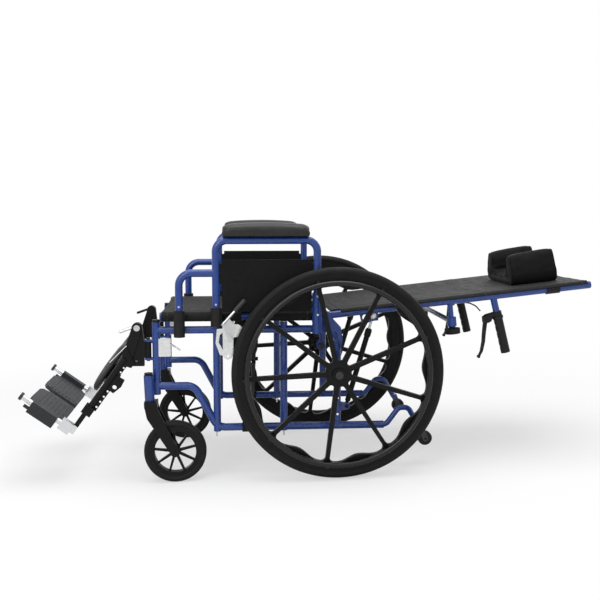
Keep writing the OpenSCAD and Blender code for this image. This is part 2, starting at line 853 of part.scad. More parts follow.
module side_panel() {
    y0 = mid_post_y + tube_r + socket_wall + 1;
    y1 = arm_rear_y - rear_socket_d / 2 - 1;
    top_z = arm_top_z - panel_drop;
    clip_z = [top_z - 70, top_z - 10];
    color(black_plastic)
        leaned() {
            block([arm_x - panel_t / 2, arm_x + panel_t / 2], [y0, y1], [panel_z, top_z]);
            difference() {
                for (y = [[mid_post_y + 4, y0 + 1], [y1 - 1, arm_rear_y - 4]])
                    block([arm_x - panel_t / 2, arm_x + panel_t / 2], y, clip_z);
                for (y = [mid_post_y, arm_rear_y])
                    rod([arm_x, y, clip_z[0] - 1], [arm_x, y, clip_z[1] + 1], tube_d);
            }
        }
}

// The pad is crowned, with rounded ends and sides that draw in at the base
module arm_pad() {
    steps = 18;
    z0 = arm_top_z + tube_r;
    mid_y = (mid_post_y + arm_rear_y) / 2 - 2;
    end_round = 26;
    function swell(u) =
        let (d = min(u, 1 - u) * pad_l)
            d >= end_round ? 1 : sqrt(max(0.03, 1 - pow(1 - d / end_round, 2)));
    color(black_plastic)
        leaned()
            loft([for (i = [0:steps])
                let (u = i / steps, k = swell(u), y = mid_y + (u - 0.5) * pad_l)
                    [for (p = section(pad_w / 2 * (0.35 + 0.65 * k), 1, 0.55, 20))
                        let (v = (p[1] + 1) / 2)
                            [arm_x + p[0] * (1 - 0.06 * (1 - v)), y,
                                z0 + soft_gap + pad_h * v * (0.72 + 0.28 * k)]]]);
}

// Seat: rails in the upper ends of the cross brace, and a sling between them

// Where each cross brace bar stands along the frame
brace_y = [-262, -236];
brace_bar_w = 12;
brace_bar_h = 26;
collar_gap = 0.1;
collar_d = tube_d + 8;
collar_l = 24;
// The upper collar stops short of the sling that lies over the seat rail
collar_lip = 6;
brace_rise = seat_rail_z - lower_rail_z;
brace_angle = atan2(brace_rise, frame_w);
brace_mid = [0, lower_rail_z + brace_rise / 2];

module seat_rail() {
    color(frame_blue)
        leaned() {
            rod([side_x, seat_front_y, seat_rail_z], [side_x, seat_rear_y, seat_rail_z], tube_d);
            rod([side_x, seat_front_y - 3, seat_rail_z], [side_x, seat_front_y, seat_rail_z], tube_d + 3);
        }
}

// One bar: lower collar on the side frame's lower rail at +x, upper collar on the seat rail at -x
module brace_bar(y, pivot_side) {
    low = [side_x, lower_rail_z];
    high = [-side_x, seat_rail_z];
    reach = collar_d / 2 - 2;
    difference() {
        union() {
            for (p = [low, high])
                rod([p[0], y - collar_l / 2, p[1]], [p[0], y + collar_l / 2, p[1]], collar_d);
            translate([low[0], y - brace_bar_w / 2, low[1]])
                rotate([0, -(180 - brace_angle), 0])
                    translate([reach, 0, -brace_bar_h / 2])
                        cube([norm(high - low) - 2 * reach, brace_bar_w, brace_bar_h]);
            translate([brace_mid[0], y - brace_bar_w / 2 - 0.5, brace_mid[1]])
                rotate([-90, 0, 0])
                    cylinder(d = brace_bar_h + 10, h = brace_bar_w + 1);
            if (pivot_side > 0)
                rod([brace_mid[0], y, brace_mid[1]], [brace_mid[0], brace_y[1] + brace_bar_w / 2 + 8,
                    brace_mid[1]], 12);
        }
        for (p = [low, high])
            rod([p[0], y - collar_l, p[1]], [p[0], y + collar_l, p[1]], tube_d + 2 * collar_gap);
        block([high[0] - tube_d, high[0] + tube_d], [y - collar_l, y + collar_l],
            [seat_rail_z + collar_lip, seat_rail_z + tube_d]);
        if (pivot_side < 0)
            rod([brace_mid[0], y - tube_d, brace_mid[1]], [brace_mid[0], y + tube_d, brace_mid[1]],
                12 + 2 * run_gap);
    }
}

module cross_brace_a() {
    color(black_plastic)
        leaned()
            brace_bar(brace_y[0], 1);
}

module cross_brace_b() {
    color(black_plastic)
        leaned()
            mirror([1, 0, 0])
                brace_bar(brace_y[1], -1);
}

// Cross-section of a sling whose hems wrap round the tubes at x = -half and half, with y up.
// wrap is the angle where the hem ends, 90 at the top of the tube and -90 under it.
hem_steps = 8;
hem_in = tube_r + soft_gap + 0.25;
function hem_arc(r, a0, a1, half, n) =
    [for (i = [0:n]) let (a = a0 + (a1 - a0) * i / n) [half + r * cos(a), r * sin(a)]];
function flip(list) = [for (i = [len(list) - 1:-1:0]) [-list[i][0], list[i][1]]];
function sling_section(half, t, sag, wrap, n, ease = 0) =
    let (
        out = hem_arc(hem_in + 3, 90, wrap, half, hem_steps),
        in = hem_arc(hem_in + ease, wrap, 90, half, hem_steps),
        xs = [for (i = [1:n - 1]) half * (1 - 2 * i / n)],
        dip = [for (x = xs) sag * (1 - pow(x / half, 2))],
        low = [for (i = [0:n - 2]) [xs[i], hem_in + 3 - t - dip[i]
            + (t - 3) * pow(abs(xs[i] / half), 8)]],
        high = [for (i = [n - 2:-1:0]) [xs[i], hem_in + 3 - dip[i]]])
    concat(out, in, low, flip(in), flip(out), high);

module seat_upholstery() {
    cut = 15;
    ends = [brace_y[0] - cut, brace_y[1] + cut];
    y0 = seat_front_y + 2;
    y1 = seat_rear_y - 2;
    // Beside the braces' collars the hem turns back up over the rail in short steps
    back_up = [[0.4, -80], [0.8, -58], [1.2, -30], [1.6, 10], [2, 60]];
    rings = concat(
        [for (i = [0:4]) [y0 + (ends[0] - y0) * i / 4, -100]],
        [for (step = back_up) [ends[0] + step[0], step[1]]],
        [for (i = [4:-1:0]) [ends[1] - back_up[i][0], back_up[i][1]]],
        [for (i = [0:4]) [ends[1] + (y1 - ends[1]) * i / 4, -100]]);
    color(black_fabric)
        leaned()
            loft([for (ring = rings)
                let (u = (ring[0] - y0) / (y1 - y0), sag = seat_sag * (0.35 + 0.65 * sin(180 * u)))
                    [for (p = sling_section(side_x, seat_t, sag, ring[1], 12, ring[1] > -100 ? 0.8 : 0))
                        [p[0], ring[0], seat_rail_z + p[1] + (ring[1] > 0 ? 1.2 : 0)]]]);
}

// Back canes: y runs from the hinge along the cane and z stands off the front of the back

module on_back() {
    leaned()
        translate([0, hinge_y, seat_rail_z])
            rotate([cane_angle, 0, 0])
                children();
}

handle_tube_d = 20;
spreader_z = -62;
spreader_d = 16;
spreader_eye_d = 28;
spreader_eye_h = 26;
stem_bottom_z = spreader_z + spreader_eye_h / 2 + side_gap;
stud_d = 10;
knob_d = 46;
knob_h = 22;
saddle_half = spreader_d / 2 + 0.3;
saddle_half_w = 15;
saddle_wall = spreader_eye_h / 2 - saddle_half;
handle_end = handle_l * [sin(handle_tilt), -cos(handle_tilt)];
slot_l = 26;
slot_h = cylinder_pin_d + 9;

// holds_eye is true on the side where the spreader bar turns, and false where it only rests
module back_cane(holds_eye) {
    color(frame_blue)
        on_back() {
            difference() {
                union() {
                    rod([side_x, 0, 0], [side_x, cane_l, 0], tube_d);
                    pin_x(side_x - tube_r, hinge_plate_x - side_gap, [0, 0], hinge_hub_d);
                    rod([side_x, handle_at, 0], [side_x, handle_at + handle_end[0], handle_end[1]],
                        handle_tube_d);
                    rod([side_x, spreader_at, 0], [side_x, spreader_at, stem_bottom_z], 15);
                    cylinder_lug();
                    if (holds_eye)
                        rod([side_x, spreader_at, stem_bottom_z + 1],
                            [side_x, spreader_at, spreader_z - spreader_eye_h / 2 - 4], stud_d);
                    else
                        saddle_top();
                }
                pin_x(hinge_plate_x - tube_d * 1.5, hinge_plate_x + 1, [0, 0], hinge_pin_d - 0.2);
                // Flat that clears the frame's hinge plate
                block([hinge_plate_x - side_gap / 2, side_x + tube_d], [-tube_d, 45], [-tube_d, tube_d]);
            }
        }
}

// A slotted lug under the cane takes the pin at the head of the recline cylinder
module cylinder_lug() {
    a = cylinder_head_along;
    b = -cylinder_head_below;
    difference() {
        side_plate(lug_x, side_x - tube_r + 4)
            polygon([[a - slot_l - 16, -4], [a - slot_l - 12, b - 14], [a + 12, b - 14], [a + 14, -4]]);
        side_plate(lug_x - 1, side_x) {
            translate([a - slot_l, b - slot_h / 2])
                square([slot_l, slot_h]);
            translate([a, b])
                circle(d = slot_h);
            translate([a - slot_l, b])
                circle(d = slot_h);
        }
    }
}

// The saddle is open towards the hinge and out to both sides, so the bar can swing and slide out
module saddle_top() {
    block([side_x - saddle_half_w, side_x + saddle_half_w],
        [spreader_at - 12, spreader_at + saddle_half + saddle_wall],
        [spreader_z + saddle_half + 0.7, stem_bottom_z + 1]);
}

// The saddle's back and its floor, which ends in the knob
module saddle_tray(floor_z) {
    x = [side_x - saddle_half_w, side_x + saddle_half_w];
    block(x, [spreader_at + saddle_half, spreader_at + saddle_half + saddle_wall],
        [spreader_z - saddle_half - saddle_wall, spreader_z + saddle_half + 0.6]);
    block(x, [spreader_at - 12, spreader_at + saddle_half - 0.1], [floor_z, spreader_z - saddle_half]);
}

module spreader_bar() {
    color(black_plastic)
        on_back()
            difference() {
                union() {
                    rod([side_x, spreader_at, spreader_z], [-side_x - 13, spreader_at, spreader_z],
                        spreader_d);
                    rod([side_x, spreader_at, spreader_z - spreader_eye_h / 2],
                        [side_x, spreader_at, spreader_z + spreader_eye_h / 2], spreader_eye_d);
                }
                rod([side_x, spreader_at, spreader_z - spreader_eye_h],
                    [side_x, spreader_at, spreader_z + spreader_eye_h], stud_d + 2 * run_gap);
            }
}

// Grip with finger grooves on the side that faces the chair
module push_grip() {
    grooves = 4;
    pitch = 22;
    dir = unit(handle_end);
    across_dir = [-dir[1], dir[0]];
    function at(l) = dir * l;
    start = handle_l - grip_l + 6;
    color(black_plastic)
        on_back()
            translate([0, handle_at, 0])
                difference() {
                    union() {
                        rod([side_x, at(start)[0], at(start)[1]],
                            [side_x, at(handle_l + 6)[0], at(handle_l + 6)[1]], grip_d);
                        rod([side_x, at(start)[0], at(start)[1]],
                            [side_x, at(start + 7)[0], at(start + 7)[1]], grip_d + 5);
                    }
                    rod([side_x, 0, 0], [side_x, at(handle_l)[0], at(handle_l)[1]], handle_tube_d);
                    for (i = [0:grooves - 1]) {
                        p = at(start + 26 + i * pitch) - across_dir * (grip_d / 2 + 8);
                        pin_x(side_x - grip_d, side_x + grip_d, p, pitch * 0.92);
                    }
                }
}

// A frame place [y, z] in the cane's own coordinates
function to_back(p) = [
    (p[0] - hinge_y) * cos(cane_angle) + (p[1] - seat_rail_z) * sin(cane_angle),
    -(p[0] - hinge_y) * sin(cane_angle) + (p[1] - seat_rail_z) * cos(cane_angle)];

lever_pivot = to_back([448, 446]);
lever_pin_d = 6;
lever_w = 10;
cheek_w = 6;
cable_d = 4;

// Black fittings that ride on a cane: knob, lever bracket, cable, strap band and end plug
module cane_fittings(holds_eye) {
    knob_top = spreader_z - spreader_eye_h / 2 - side_gap;
    color(black_plastic)
        on_back() {
            difference() {
                union() {
                    rod([side_x, spreader_at, knob_top - knob_h], [side_x, spreader_at, knob_top - 7], knob_d);
                    rod([side_x, spreader_at, knob_top - 8], [side_x, spreader_at, knob_top], stud_d * 2);
                    if (!holds_eye)
                        saddle_tray(knob_top - 1);
                }
                if (holds_eye)
                    rod([side_x, spreader_at, spreader_z],
                        [side_x, spreader_at, spreader_z - spreader_eye_h / 2 - 4], stud_d);
            }
            lever_bracket();
            cable();
            strap_band();
            rod([side_x, cane_l, 0], [side_x, cane_l + 2, 0], tube_d - 2);
        }
}

module lever_bracket() {
    dir = unit(handle_end);
    ring = [for (l = [48, 61]) [side_x, handle_at, 0] + l * [0, dir[0], dir[1]]];
    half = lever_w / 2 + side_gap + cheek_w;
    difference() {
        union() {
            rod(ring[0], ring[1], handle_tube_d + 8);
            side_plate(side_x - half, side_x + half)
                polygon([lever_pivot + [-8, 9], lever_pivot + [2, 15], [ring[0][1], ring[0][2]],
                    [ring[1][1], ring[1][2] + 1], [ring[1][1] - 17.5, ring[1][2] - 1],
                    lever_pivot + [14, -5], lever_pivot + [4, -9], lever_pivot + [-8, -7]]);
        }
        rod([side_x, handle_at, 0], [side_x, handle_at + handle_end[0], handle_end[1]], handle_tube_d);
        side_plate(side_x - lever_w / 2 - side_gap, side_x + lever_w / 2 + side_gap)
            polygon([lever_pivot + [-9, 6], lever_pivot + [7, 6], lever_pivot + [13, 0],
                lever_pivot + [30, -30], lever_pivot + [-9, -30]]);
        pin_x(side_x - half - 1, side_x + half + 1, lever_pivot, lever_pin_d + 2 * run_gap);
    }
}

module release_lever() {
    half = lever_w / 2;
    spine = [for (p = [[446, 436], [443.5, 408], [442, 380], [437, 352], [429, 336]]) to_back(p)];
    width = [11, 10, 9, 7.5, 6];
    color(black_plastic)
        on_back() {
            side_plate(side_x - half, side_x + half) {
                polygon(concat([for (i = [0:4]) spine[i] + [width[i] / 2, 0]],
                    [for (i = [4:-1:0]) spine[i] - [width[i] / 2, 0]]));
                translate(spine[4])
                    circle(d = 9);
                translate(lever_pivot)
                    circle(d = 10.5);
                polygon([lever_pivot + [-5, 0], lever_pivot + [5, 0], spine[0] + [5.5, 0],
                    spine[0] - [5.5, 0]]);
            }
            pin_x(side_x - half - cheek_w - 1, side_x + half + cheek_w + 1, lever_pivot, lever_pin_d);
        }
}

// A round cord through the given points
module cord(points, d) {
    for (i = [0:len(points) - 2])
        rod(points[i], points[i + 1], d);
    for (p = points)
        translate(p)
            sphere(d = d + 0.3);
}

module cable() {
    x = side_x - 10;
    low = -8.4;
    a = to_back([401, 497]);
    b = to_back([418, 487]);
    c = to_back([432, 472]);
    top = lever_pivot + [-5, 10];
    cord([[x, cylinder_head_along + 22, low], [x, a[0] - 26, low], [x + 4, a[0], a[1] - 2],
        [side_x - 4, b[0], b[1]], [side_x - 3, c[0], c[1]], [side_x - 3, top[0], top[1]]], cable_d);
}

// The headrest's strap passes round the cane, below the sling's hem
module strap_band() {
    s0 = headrest_at;
    s1 = s0 + 40;
    difference() {
        rod([side_x, s0, 0], [side_x, s1, 0], tube_d + 6);
        rod([side_x, s0 - 1, 0], [side_x, s1 + 1, 0], tube_d);
        block([side_x - tube_d, side_x + tube_d], [s0 - 1, s1 + 1], [3.2, tube_d]);
    }
}

// Recline cylinder: its body turns on the rear post, and its rod carries the cane

cylinder_d = 16;
rod_d = 8;
cylinder_l = 240;
rod_l = 225;
cylinder_dir = unit(cylinder_head - cylinder_foot);
function on_cylinder(l) = cylinder_foot + cylinder_dir * l;
function at_x(x, p) = [x, p[0], p[1]];

module cylinder_pin(p) {
    x1 = side_x - tube_r + 4;
    pin_x(cylinder_x - 4, x1 + 1, p, cylinder_pin_d);
    pin_x(x1 + side_gap, x1 + side_gap + 2.5, p, cylinder_pin_d + 4);
}

module recline_cylinder() {
    color(black_plastic)
        leaned()
            difference() {
                union() {
                    pin_x(cylinder_x - 6, cylinder_x + 6, cylinder_foot, 18);
                    rod(at_x(cylinder_x, on_cylinder(0)), at_x(cylinder_x, on_cylinder(15)), 11);
                    rod(at_x(cylinder_x, on_cylinder(14)), at_x(cylinder_x, on_cylinder(cylinder_l)),
                        cylinder_d);
                    rod(at_x(cylinder_x, on_cylinder(cylinder_l - 24)),
                        at_x(cylinder_x, on_cylinder(cylinder_l - 4)), cylinder_d + 4);
                    cylinder_pin(cylinder_foot);
                }
                rod(at_x(cylinder_x, on_cylinder(40)), at_x(cylinder_x, on_cylinder(cylinder_l + 1)),
                    rod_d + 2 * slide_gap);
            }
}

module cylinder_rod() {
    reach = norm(cylinder_head - cylinder_foot);
    color(silver_metal)
        leaned() {
            rod(at_x(cylinder_x, on_cylinder(reach - rod_l)), at_x(cylinder_x, on_cylinder(reach - 4)), rod_d);
            pin_x(cylinder_x - 6, cylinder_x + 6, cylinder_head, 16);
            cylinder_pin(cylinder_head);
        }
}

// Elevating legrest: y runs down the leg from its pivot and z stands off its back

leg_pivot = [front_post_y - leg_pivot_ahead, leg_pivot_z];
leg_x = side_x + 7;
leg_q = 24;
leg_pin_d = 10;
arm_plate_x = side_x + 4.4;
arm_plate_t = 6;
foot_tube_d = 16;

module on_leg() {
    leaned()
        translate([0, leg_pivot[0], leg_pivot[1]])
            rotate([180 + leg_angle, 0, 0])
                children();
}

// The hanger swings out on a pin in the front post's lugs and lifts off it
module legrest_hanger() {
    x0 = side_x - 12;
    x1 = side_x + 4;
    z0 = swing_lug_z[0] + swing_lug_t + side_gap;
    z1 = swing_lug_z[1] - side_gap;
    color(black_plastic)
        leaned() {
            difference() {
                side_plate(x0, x1) {
                    polygon([[leg_pivot[0] - 19, leg_pivot[1] - 112], [leg_pivot[0] + 19, leg_pivot[1] - 112],
                        [leg_pivot[0] + 19.5, leg_pivot[1] - 40], [leg_pivot[0] + 15, leg_pivot[1]],
                        [leg_pivot[0] - 15, leg_pivot[1]]]);
                    translate(leg_pivot)
                        circle(d = 30);
                }
                pin_x(x0 - 1, x1 + 1, leg_pivot, leg_pin_d + 2 * run_gap);
                pin_x(x0 - 1, x1 + 1, leg_pivot - [4, 96], 8);
            }
            rod([side_x, swing_y, z0], [side_x, swing_y, z1], swing_pin_d + 8);
            block([side_x - 9, side_x + 4], [leg_pivot[0] + 12, swing_y], [z0, z1]);
            rod([side_x, swing_y, swing_lug_z[0] - 3], [side_x, swing_y, swing_lug_z[1] + swing_lug_t + 4],
                swing_pin_d);
        }
}

// Leg arm and tube with its clamp, wire, brackets and the block that carries the footplate's hinge
module leg_tube() {
    x1 = arm_plate_x + arm_plate_t;
    strip = [leg_x - 2, leg_x + 2];
    color(plate_grey)
        on_leg() {
            side_plate(arm_plate_x, x1)
                polygon([[0, -15], [100, leg_q - 8], [118, leg_q], [100, leg_q + 16],
                    [84, leg_q + 18], [0, 15]]);
            pin_x(arm_plate_x, x1, [0, 0], 30);
            pin_x(side_x - 14, x1 + 1, [0, 0], leg_pin_d);
            pin_x(side_x - 15, side_x - 12.4, [0, 0], 16);
            pin_x(x1 - 1, x1 + 3, [0, 0], 18);
            rod([leg_x, 92, leg_q], [leg_x, 278, leg_q], leg_tube_d);
            leg_brackets(strip, x1);
            calf_bracket();
            foot_block();
        }
    color(silver_metal)
        on_leg()
            cord([[x1 + 1, 85, 50], [x1 + 3, 60, 5.5], [x1 + 3, 125, -5]], 3);
}

module leg_brackets(strip, x1) {
    difference() {
        union() {
            side_plate(strip[0], strip[1])
                polygon([[140, leg_q], [140, leg_q + 19], [268, leg_q + 19], [268, leg_q]]);
            side_plate(leg_x - 4, leg_x + 4)
                polygon([[147, 30], [145, 59], [167, 62], [195, 54], [194, 30]]);
        }
        for (t = [200, 219, 237, 256])
            pin_x(leg_x - tube_r, leg_x + tube_r, [t, leg_q + leg_tube_d / 2 + 4.5], 6.5);
        pin_x(leg_x - tube_r, leg_x + tube_r, [178.5, 47], 13);
    }
    side_plate(arm_plate_x, x1 + 2)
        polygon([[80, 30], [88, 54], [104, 54], [112, 30]]);
    pin_x(x1 + 1, x1 + 5, [97, 44], 9);
    // Thumb lever that frees the elevation, standing off the front of the arm
    cord([[leg_x + 2, 10, -14], [leg_x + 2, 36, -32]], 8);
    block([leg_x - 13, leg_x + 13], [262, 290], [leg_q - 15, leg_q + 15]);
}

// Plate behind the calf pad, reaching in from the leg tube
module calf_bracket() {
    block([leg_x - 105, leg_x - 6], [130, 185], [calf_back + soft_gap, calf_back + soft_gap + 5]);
}

module foot_block() {
    gap = foot_tube_d + 2 * run_gap;
    difference() {
        union() {
            block([leg_x - 10, leg_x + 10], [foot_at - 17, foot_at + 17], [-20, 16]);
            block([leg_x - 6, leg_x + 6], [280, foot_at + 8], [leg_q - 9, leg_q + 5]);
        }
        rod([leg_x, foot_at, 7], [leg_x, foot_at, -21], gap);
    }
}

calf_back = 13;

// The pad is a rounded cushion on the bracket
module calf_pad() {
    steps = 14;
    x_mid = leg_x - 72;
    color(black_fabric)
        on_leg()
            loft([for (i = [0:steps])
                let (u = i / steps, d = min(u, 1 - u) * calf_l,
                    k = d > 22 ? 1 : sqrt(max(0.05, 1 - pow(1 - d / 22, 2))))
                    [for (p = section(calf_w / 2 * (0.5 + 0.5 * k), calf_t / 2 * (0.45 + 0.55 * k), 0.6, 20))
                        [x_mid + p[0], 65 + calf_l * u, calf_back - calf_t / 2 * (0.45 + 0.55 * k) + p[1]]]]);
}

foot_tube_end = -150;

// Bright tube that the footplate folds round, with its end cap
module footplate_hinge() {
    color(silver_metal)
        on_leg() {
            rod([leg_x, foot_at, foot_tube_end], [leg_x, foot_at, 6], foot_tube_d);
            rod([leg_x, foot_at, foot_tube_end - 8], [leg_x, foot_at, foot_tube_end], 24);
        }
}

module footplate() {
    x_in = leg_x - 24 - foot_w;
    x_out = leg_x - 24;
    t0 = foot_at + 4;
    barrel = [-118, -33];
    heel = 14;
    toe = heel + foot_l;
    color(plate_grey)
        on_leg() {
            translate([0, t0, 0])
                rotate([-90, 0, 0])
                    linear_extrude(foot_t)
                        polygon([[x_in, heel], [x_in, toe - 40], [x_in + 14, toe - 8], [x_in + 34, toe],
                            [x_out - 40, toe], [x_out - 12, toe - 14], [x_out, toe - 34],
                            [x_out, heel + 22], [x_out - 8, heel + 12], [x_out - 24, heel]]);
            for (i = [0:7])
                block([x_in + 16, x_out - 20], [t0 - 1.5, t0 + 1], [-22 - i * 13, -16 - i * 13]);
            block([x_out - 1, leg_x - 12], [t0, t0 + foot_t], barrel);
            difference() {
                block([leg_x - 13, leg_x + 13], [foot_at - 9, foot_at + 27], barrel);
                rod([leg_x, foot_at, barrel[0] - 1], [leg_x, foot_at, barrel[1] + 1],
                    foot_tube_d + 2 * slide_gap);
            }
            rod([leg_x, foot_at + 18, barrel[0] - 16], [leg_x, foot_at + 18, barrel[0] + 2], 10);
        }
}

// Back sling and headrest

back_first = 16;
back_from = 48;
// Where the back sling's hem ends on the canes: 90 on top, 0 at their outer sides
back_wrap = 20;
back_to = cane_l - 9;
function back_dip(s) = back_sag * (0.4 + 0.6 * sin(180 * (s - back_first) / (back_to - back_first)));

// Beside the hinge the sling only rests on the canes, and its hem starts past the hinge plate
module back_upholstery() {
    steps = 12;
    rings = concat([[back_first, 86], [back_from - 4, 86], [back_from - 3, 66], [back_from - 1.5, 42]],
        [for (i = [0:steps]) [back_from + (back_to - back_from) * i / steps, back_wrap]]);
    color(black_fabric)
        on_back()
            loft([for (ring = rings)
                [for (p = sling_section(side_x, back_t, back_dip(ring[0]), ring[1], 12,
                    ring[1] > back_wrap ? 0.8 : 0)) [p[0], ring[0], p[1]]]]);
}

rest_outer =
    let (a = headrest_w / 2, h = headrest_h)
        [[a - 34, h], [a - 23, h - 3], [a - 16, h - 12], [a - 6, 58], [a, 30], [a - 2, 12],
            [a - 11, 1], [50, 0]];
rest_inner =
    let (a = headrest_w / 2, h = headrest_h)
        [[a - 48, h - 1], [a - 56, h - 5], [a - 59, h - 14], [a - 60, 58], [a - 64, 40], [a - 72, 32],
            [a - 84, 29], [30, 28]];
rest_half = concat([for (i = [7:-1:0]) rest_outer[i]], rest_inner);
rest_outline = concat([for (i = [15:-1:0]) rest_half[i]], [for (p = rest_half) [-p[0], p[1]]]);

module headrest() {
    steps = 12;
    base = hem_in + 3 + soft_gap;
    dip = back_dip(headrest_at + headrest_l / 2);
    color(black_fabric)
        on_back()
            loft([for (i = [0:steps])
                let (u = 2 * i / steps - 1, k = sqrt(1 - pow(abs(u), 6) * 0.55))
                    [for (p = rest_outline)
                        let (z = p[1] * (0.86 + 0.14 * k) - dip * (1 - pow(p[0] / side_x, 2)),
                            lift = z / headrest_h)
                            [p[0] * (0.9 + 0.1 * k),
                                headrest_at + u * headrest_l / 2 * (1 - 0.04 * lift),
                                base + z * (1 + 0.05 * u)]]]);
}

side_frame();  // left_side_frame
arm_sockets();  // left_arm_sockets
hardware();  // left_hardware
anti_tipper();  // left_anti_tipper
anti_tip_wheel();  // left_anti_tip_wheel
wheel_tyre();  // left_wheel_tyre
wheel_rim();  // left_wheel_rim
handrim();  // left_handrim
caster_fork();  // left_caster_fork
caster_rim();  // left_caster_rim
caster_tyre();  // left_caster_tyre
lock_lever();  // left_lock_lever
arm_frame();  // left_arm_frame
arm_pad();  // left_arm_pad
side_panel();  // left_side_panel
back_cane(true);  // left_back_cane
push_grip();  // left_push_grip
cane_fittings(true);  // left_cane_fittings
release_lever();  // left_release_lever
recline_cylinder();  // left_recline_cylinder
cylinder_rod();  // left_cylinder_rod
legrest_hanger();  // left_legrest_hanger
leg_tube();  // left_leg_tube
calf_pad();  // left_calf_pad
footplate();  // left_footplate
footplate_hinge();  // left_footplate_hinge
right() side_frame();  // right_side_frame
right() arm_sockets();  // right_arm_sockets
right() hardware();  // right_hardware
right() anti_tipper();  // right_anti_tipper
right() anti_tip_wheel();  // right_anti_tip_wheel
right() wheel_tyre();  // right_wheel_tyre
right() wheel_rim();  // right_wheel_rim
right() handrim();  // right_handrim
right() caster_fork();  // right_caster_fork
right() caster_rim();  // right_caster_rim
right() caster_tyre();  // right_caster_tyre
right() lock_lever();  // right_lock_lever
right() arm_frame();  // right_arm_frame
right() arm_pad();  // right_arm_pad
right() side_panel();  // right_side_panel
right() back_cane(false);  // right_back_cane
right() push_grip();  // right_push_grip
right() cane_fittings(false);  // right_cane_fittings
right() release_lever();  // right_release_lever
right() recline_cylinder();  // right_recline_cylinder
right() cylinder_rod();  // right_cylinder_rod
right() legrest_hanger();  // right_legrest_hanger
right() leg_tube();  // right_leg_tube
right() calf_pad();  // right_calf_pad
right() footplate();  // right_footplate
right() footplate_hinge();  // right_footplate_hinge
cross_brace_a();
cross_brace_b();
seat_rail();  // left_seat_rail
right() seat_rail();  // right_seat_rail
seat_upholstery();
back_upholstery();
headrest();
spreader_bar();
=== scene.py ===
import bpy
import math
from mathutils import Matrix, Vector, noise
from mathutils.bvhtree import BVHTree


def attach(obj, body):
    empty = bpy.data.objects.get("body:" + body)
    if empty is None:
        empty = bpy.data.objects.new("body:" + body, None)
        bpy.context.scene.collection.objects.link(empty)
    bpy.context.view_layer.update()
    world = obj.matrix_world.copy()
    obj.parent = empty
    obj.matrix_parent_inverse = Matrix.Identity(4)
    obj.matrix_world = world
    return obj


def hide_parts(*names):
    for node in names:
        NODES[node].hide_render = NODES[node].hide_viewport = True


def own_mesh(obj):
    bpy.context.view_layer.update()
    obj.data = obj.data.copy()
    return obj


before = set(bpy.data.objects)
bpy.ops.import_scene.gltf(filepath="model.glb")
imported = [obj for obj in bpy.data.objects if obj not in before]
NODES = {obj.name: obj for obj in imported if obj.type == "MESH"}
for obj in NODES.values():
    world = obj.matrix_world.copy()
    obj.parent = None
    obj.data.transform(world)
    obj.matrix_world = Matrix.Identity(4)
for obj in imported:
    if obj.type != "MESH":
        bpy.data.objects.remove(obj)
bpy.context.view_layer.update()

SCENE = bpy.context.scene
SCENE.view_settings.view_transform = "Standard"
SIDES = (("left", 1), ("right", -1))
MM = 0.001

# The CAD's own sizes: millimetres in the leaning frame, which is tipped back about the axle
RAKE = math.radians(2)
SHIFT_Y = 0.074
WHEEL_R = 305
SIDE_X = 218
TUBE_R = 11
HEM_IN = TUBE_R + 0.55
HEM_T = 3
HEM_EASE = 0.8
HEM_LIFT = 1.2
END_SEAM = 17
SEAT_Z = 463
SEAT_Y = (-505, -66)
SEAT_T = 9
SEAT_SAG = 10
SEAT_WRAP = -100
BRACE_Y = (-262, -236)
BRACE_CUT = 15
HINGE_Y = -30
CANE_ANGLE = math.radians(6.2)
BACK_S = (16, 786)
BACK_FROM = 48
BACK_T = 9
BACK_SAG = 8
BACK_WRAP = 20
HEADREST_AT = 661
HEADREST_L = 144
HEADREST_W = 272
HEADREST_H = 98
ARM_X = 251
ARM_TOP_Z = 684
ARM_Y = (-347, -57)
PAD_L = 254
PAD_W = 58
PAD_H = 40
PAD_INSET = 0.985
PAD_END = 26
LEG_ANGLE = math.radians(54)
LEG_PIVOT = (-575, 432)
LEG_X = 225
CALF_IN = 72
CALF_HALF_W = 47
CALF_T = (65, 230)
CALF_BACK = 13
CALF_HELD = 1.5
CALF_SEAM = 4


def leaned(x, y, z):
    """A place in the leaning frame, in the row frame."""
    c, s = math.cos(RAKE), math.sin(RAKE)
    return Vector((x * MM, (y * c + (z - WHEEL_R) * s) * MM + SHIFT_Y,
                   (WHEEL_R - y * s + (z - WHEEL_R) * c) * MM))


def on_seat(x, along, off):
    """A place at y = along in the leaning frame, and off above the seat tubes' centres."""
    return leaned(x, along, SEAT_Z + off)


def on_back(x, along, off):
    """A place along the canes from their hinge, and off above their centres."""
    c, s = math.cos(CANE_ANGLE), math.sin(CANE_ANGLE)
    return leaned(x, HINGE_Y + along * c - off * s, SEAT_Z + along * s + off * c)


def on_leg(x, t, q):
    """A place t down the leg from its pivot, and q behind and below it."""
    c, s = math.cos(LEG_ANGLE), math.sin(LEG_ANGLE)
    return leaned(x, LEG_PIVOT[0] - t * c + q * s, LEG_PIVOT[1] - t * s - q * c)


def smooth(a, b, v):
    u = min(1.0, max(0.0, (v - a) / (b - a)))
    return u * u * (3 - 2 * u)


def bell(v, width):
    return math.exp(-(v / width) ** 2)


# Camera

# Fitted to the wheels, casters and frame in the photograph
CAMERA_TURN = (3.989, 6.269, -1.967)
CAMERA_PLACE = (2.7225, -0.2717 + SHIFT_Y, 0.7881)
FOCAL_PX = 867.28
IMAGE_PX = 600
SENSOR_MM = 36.0


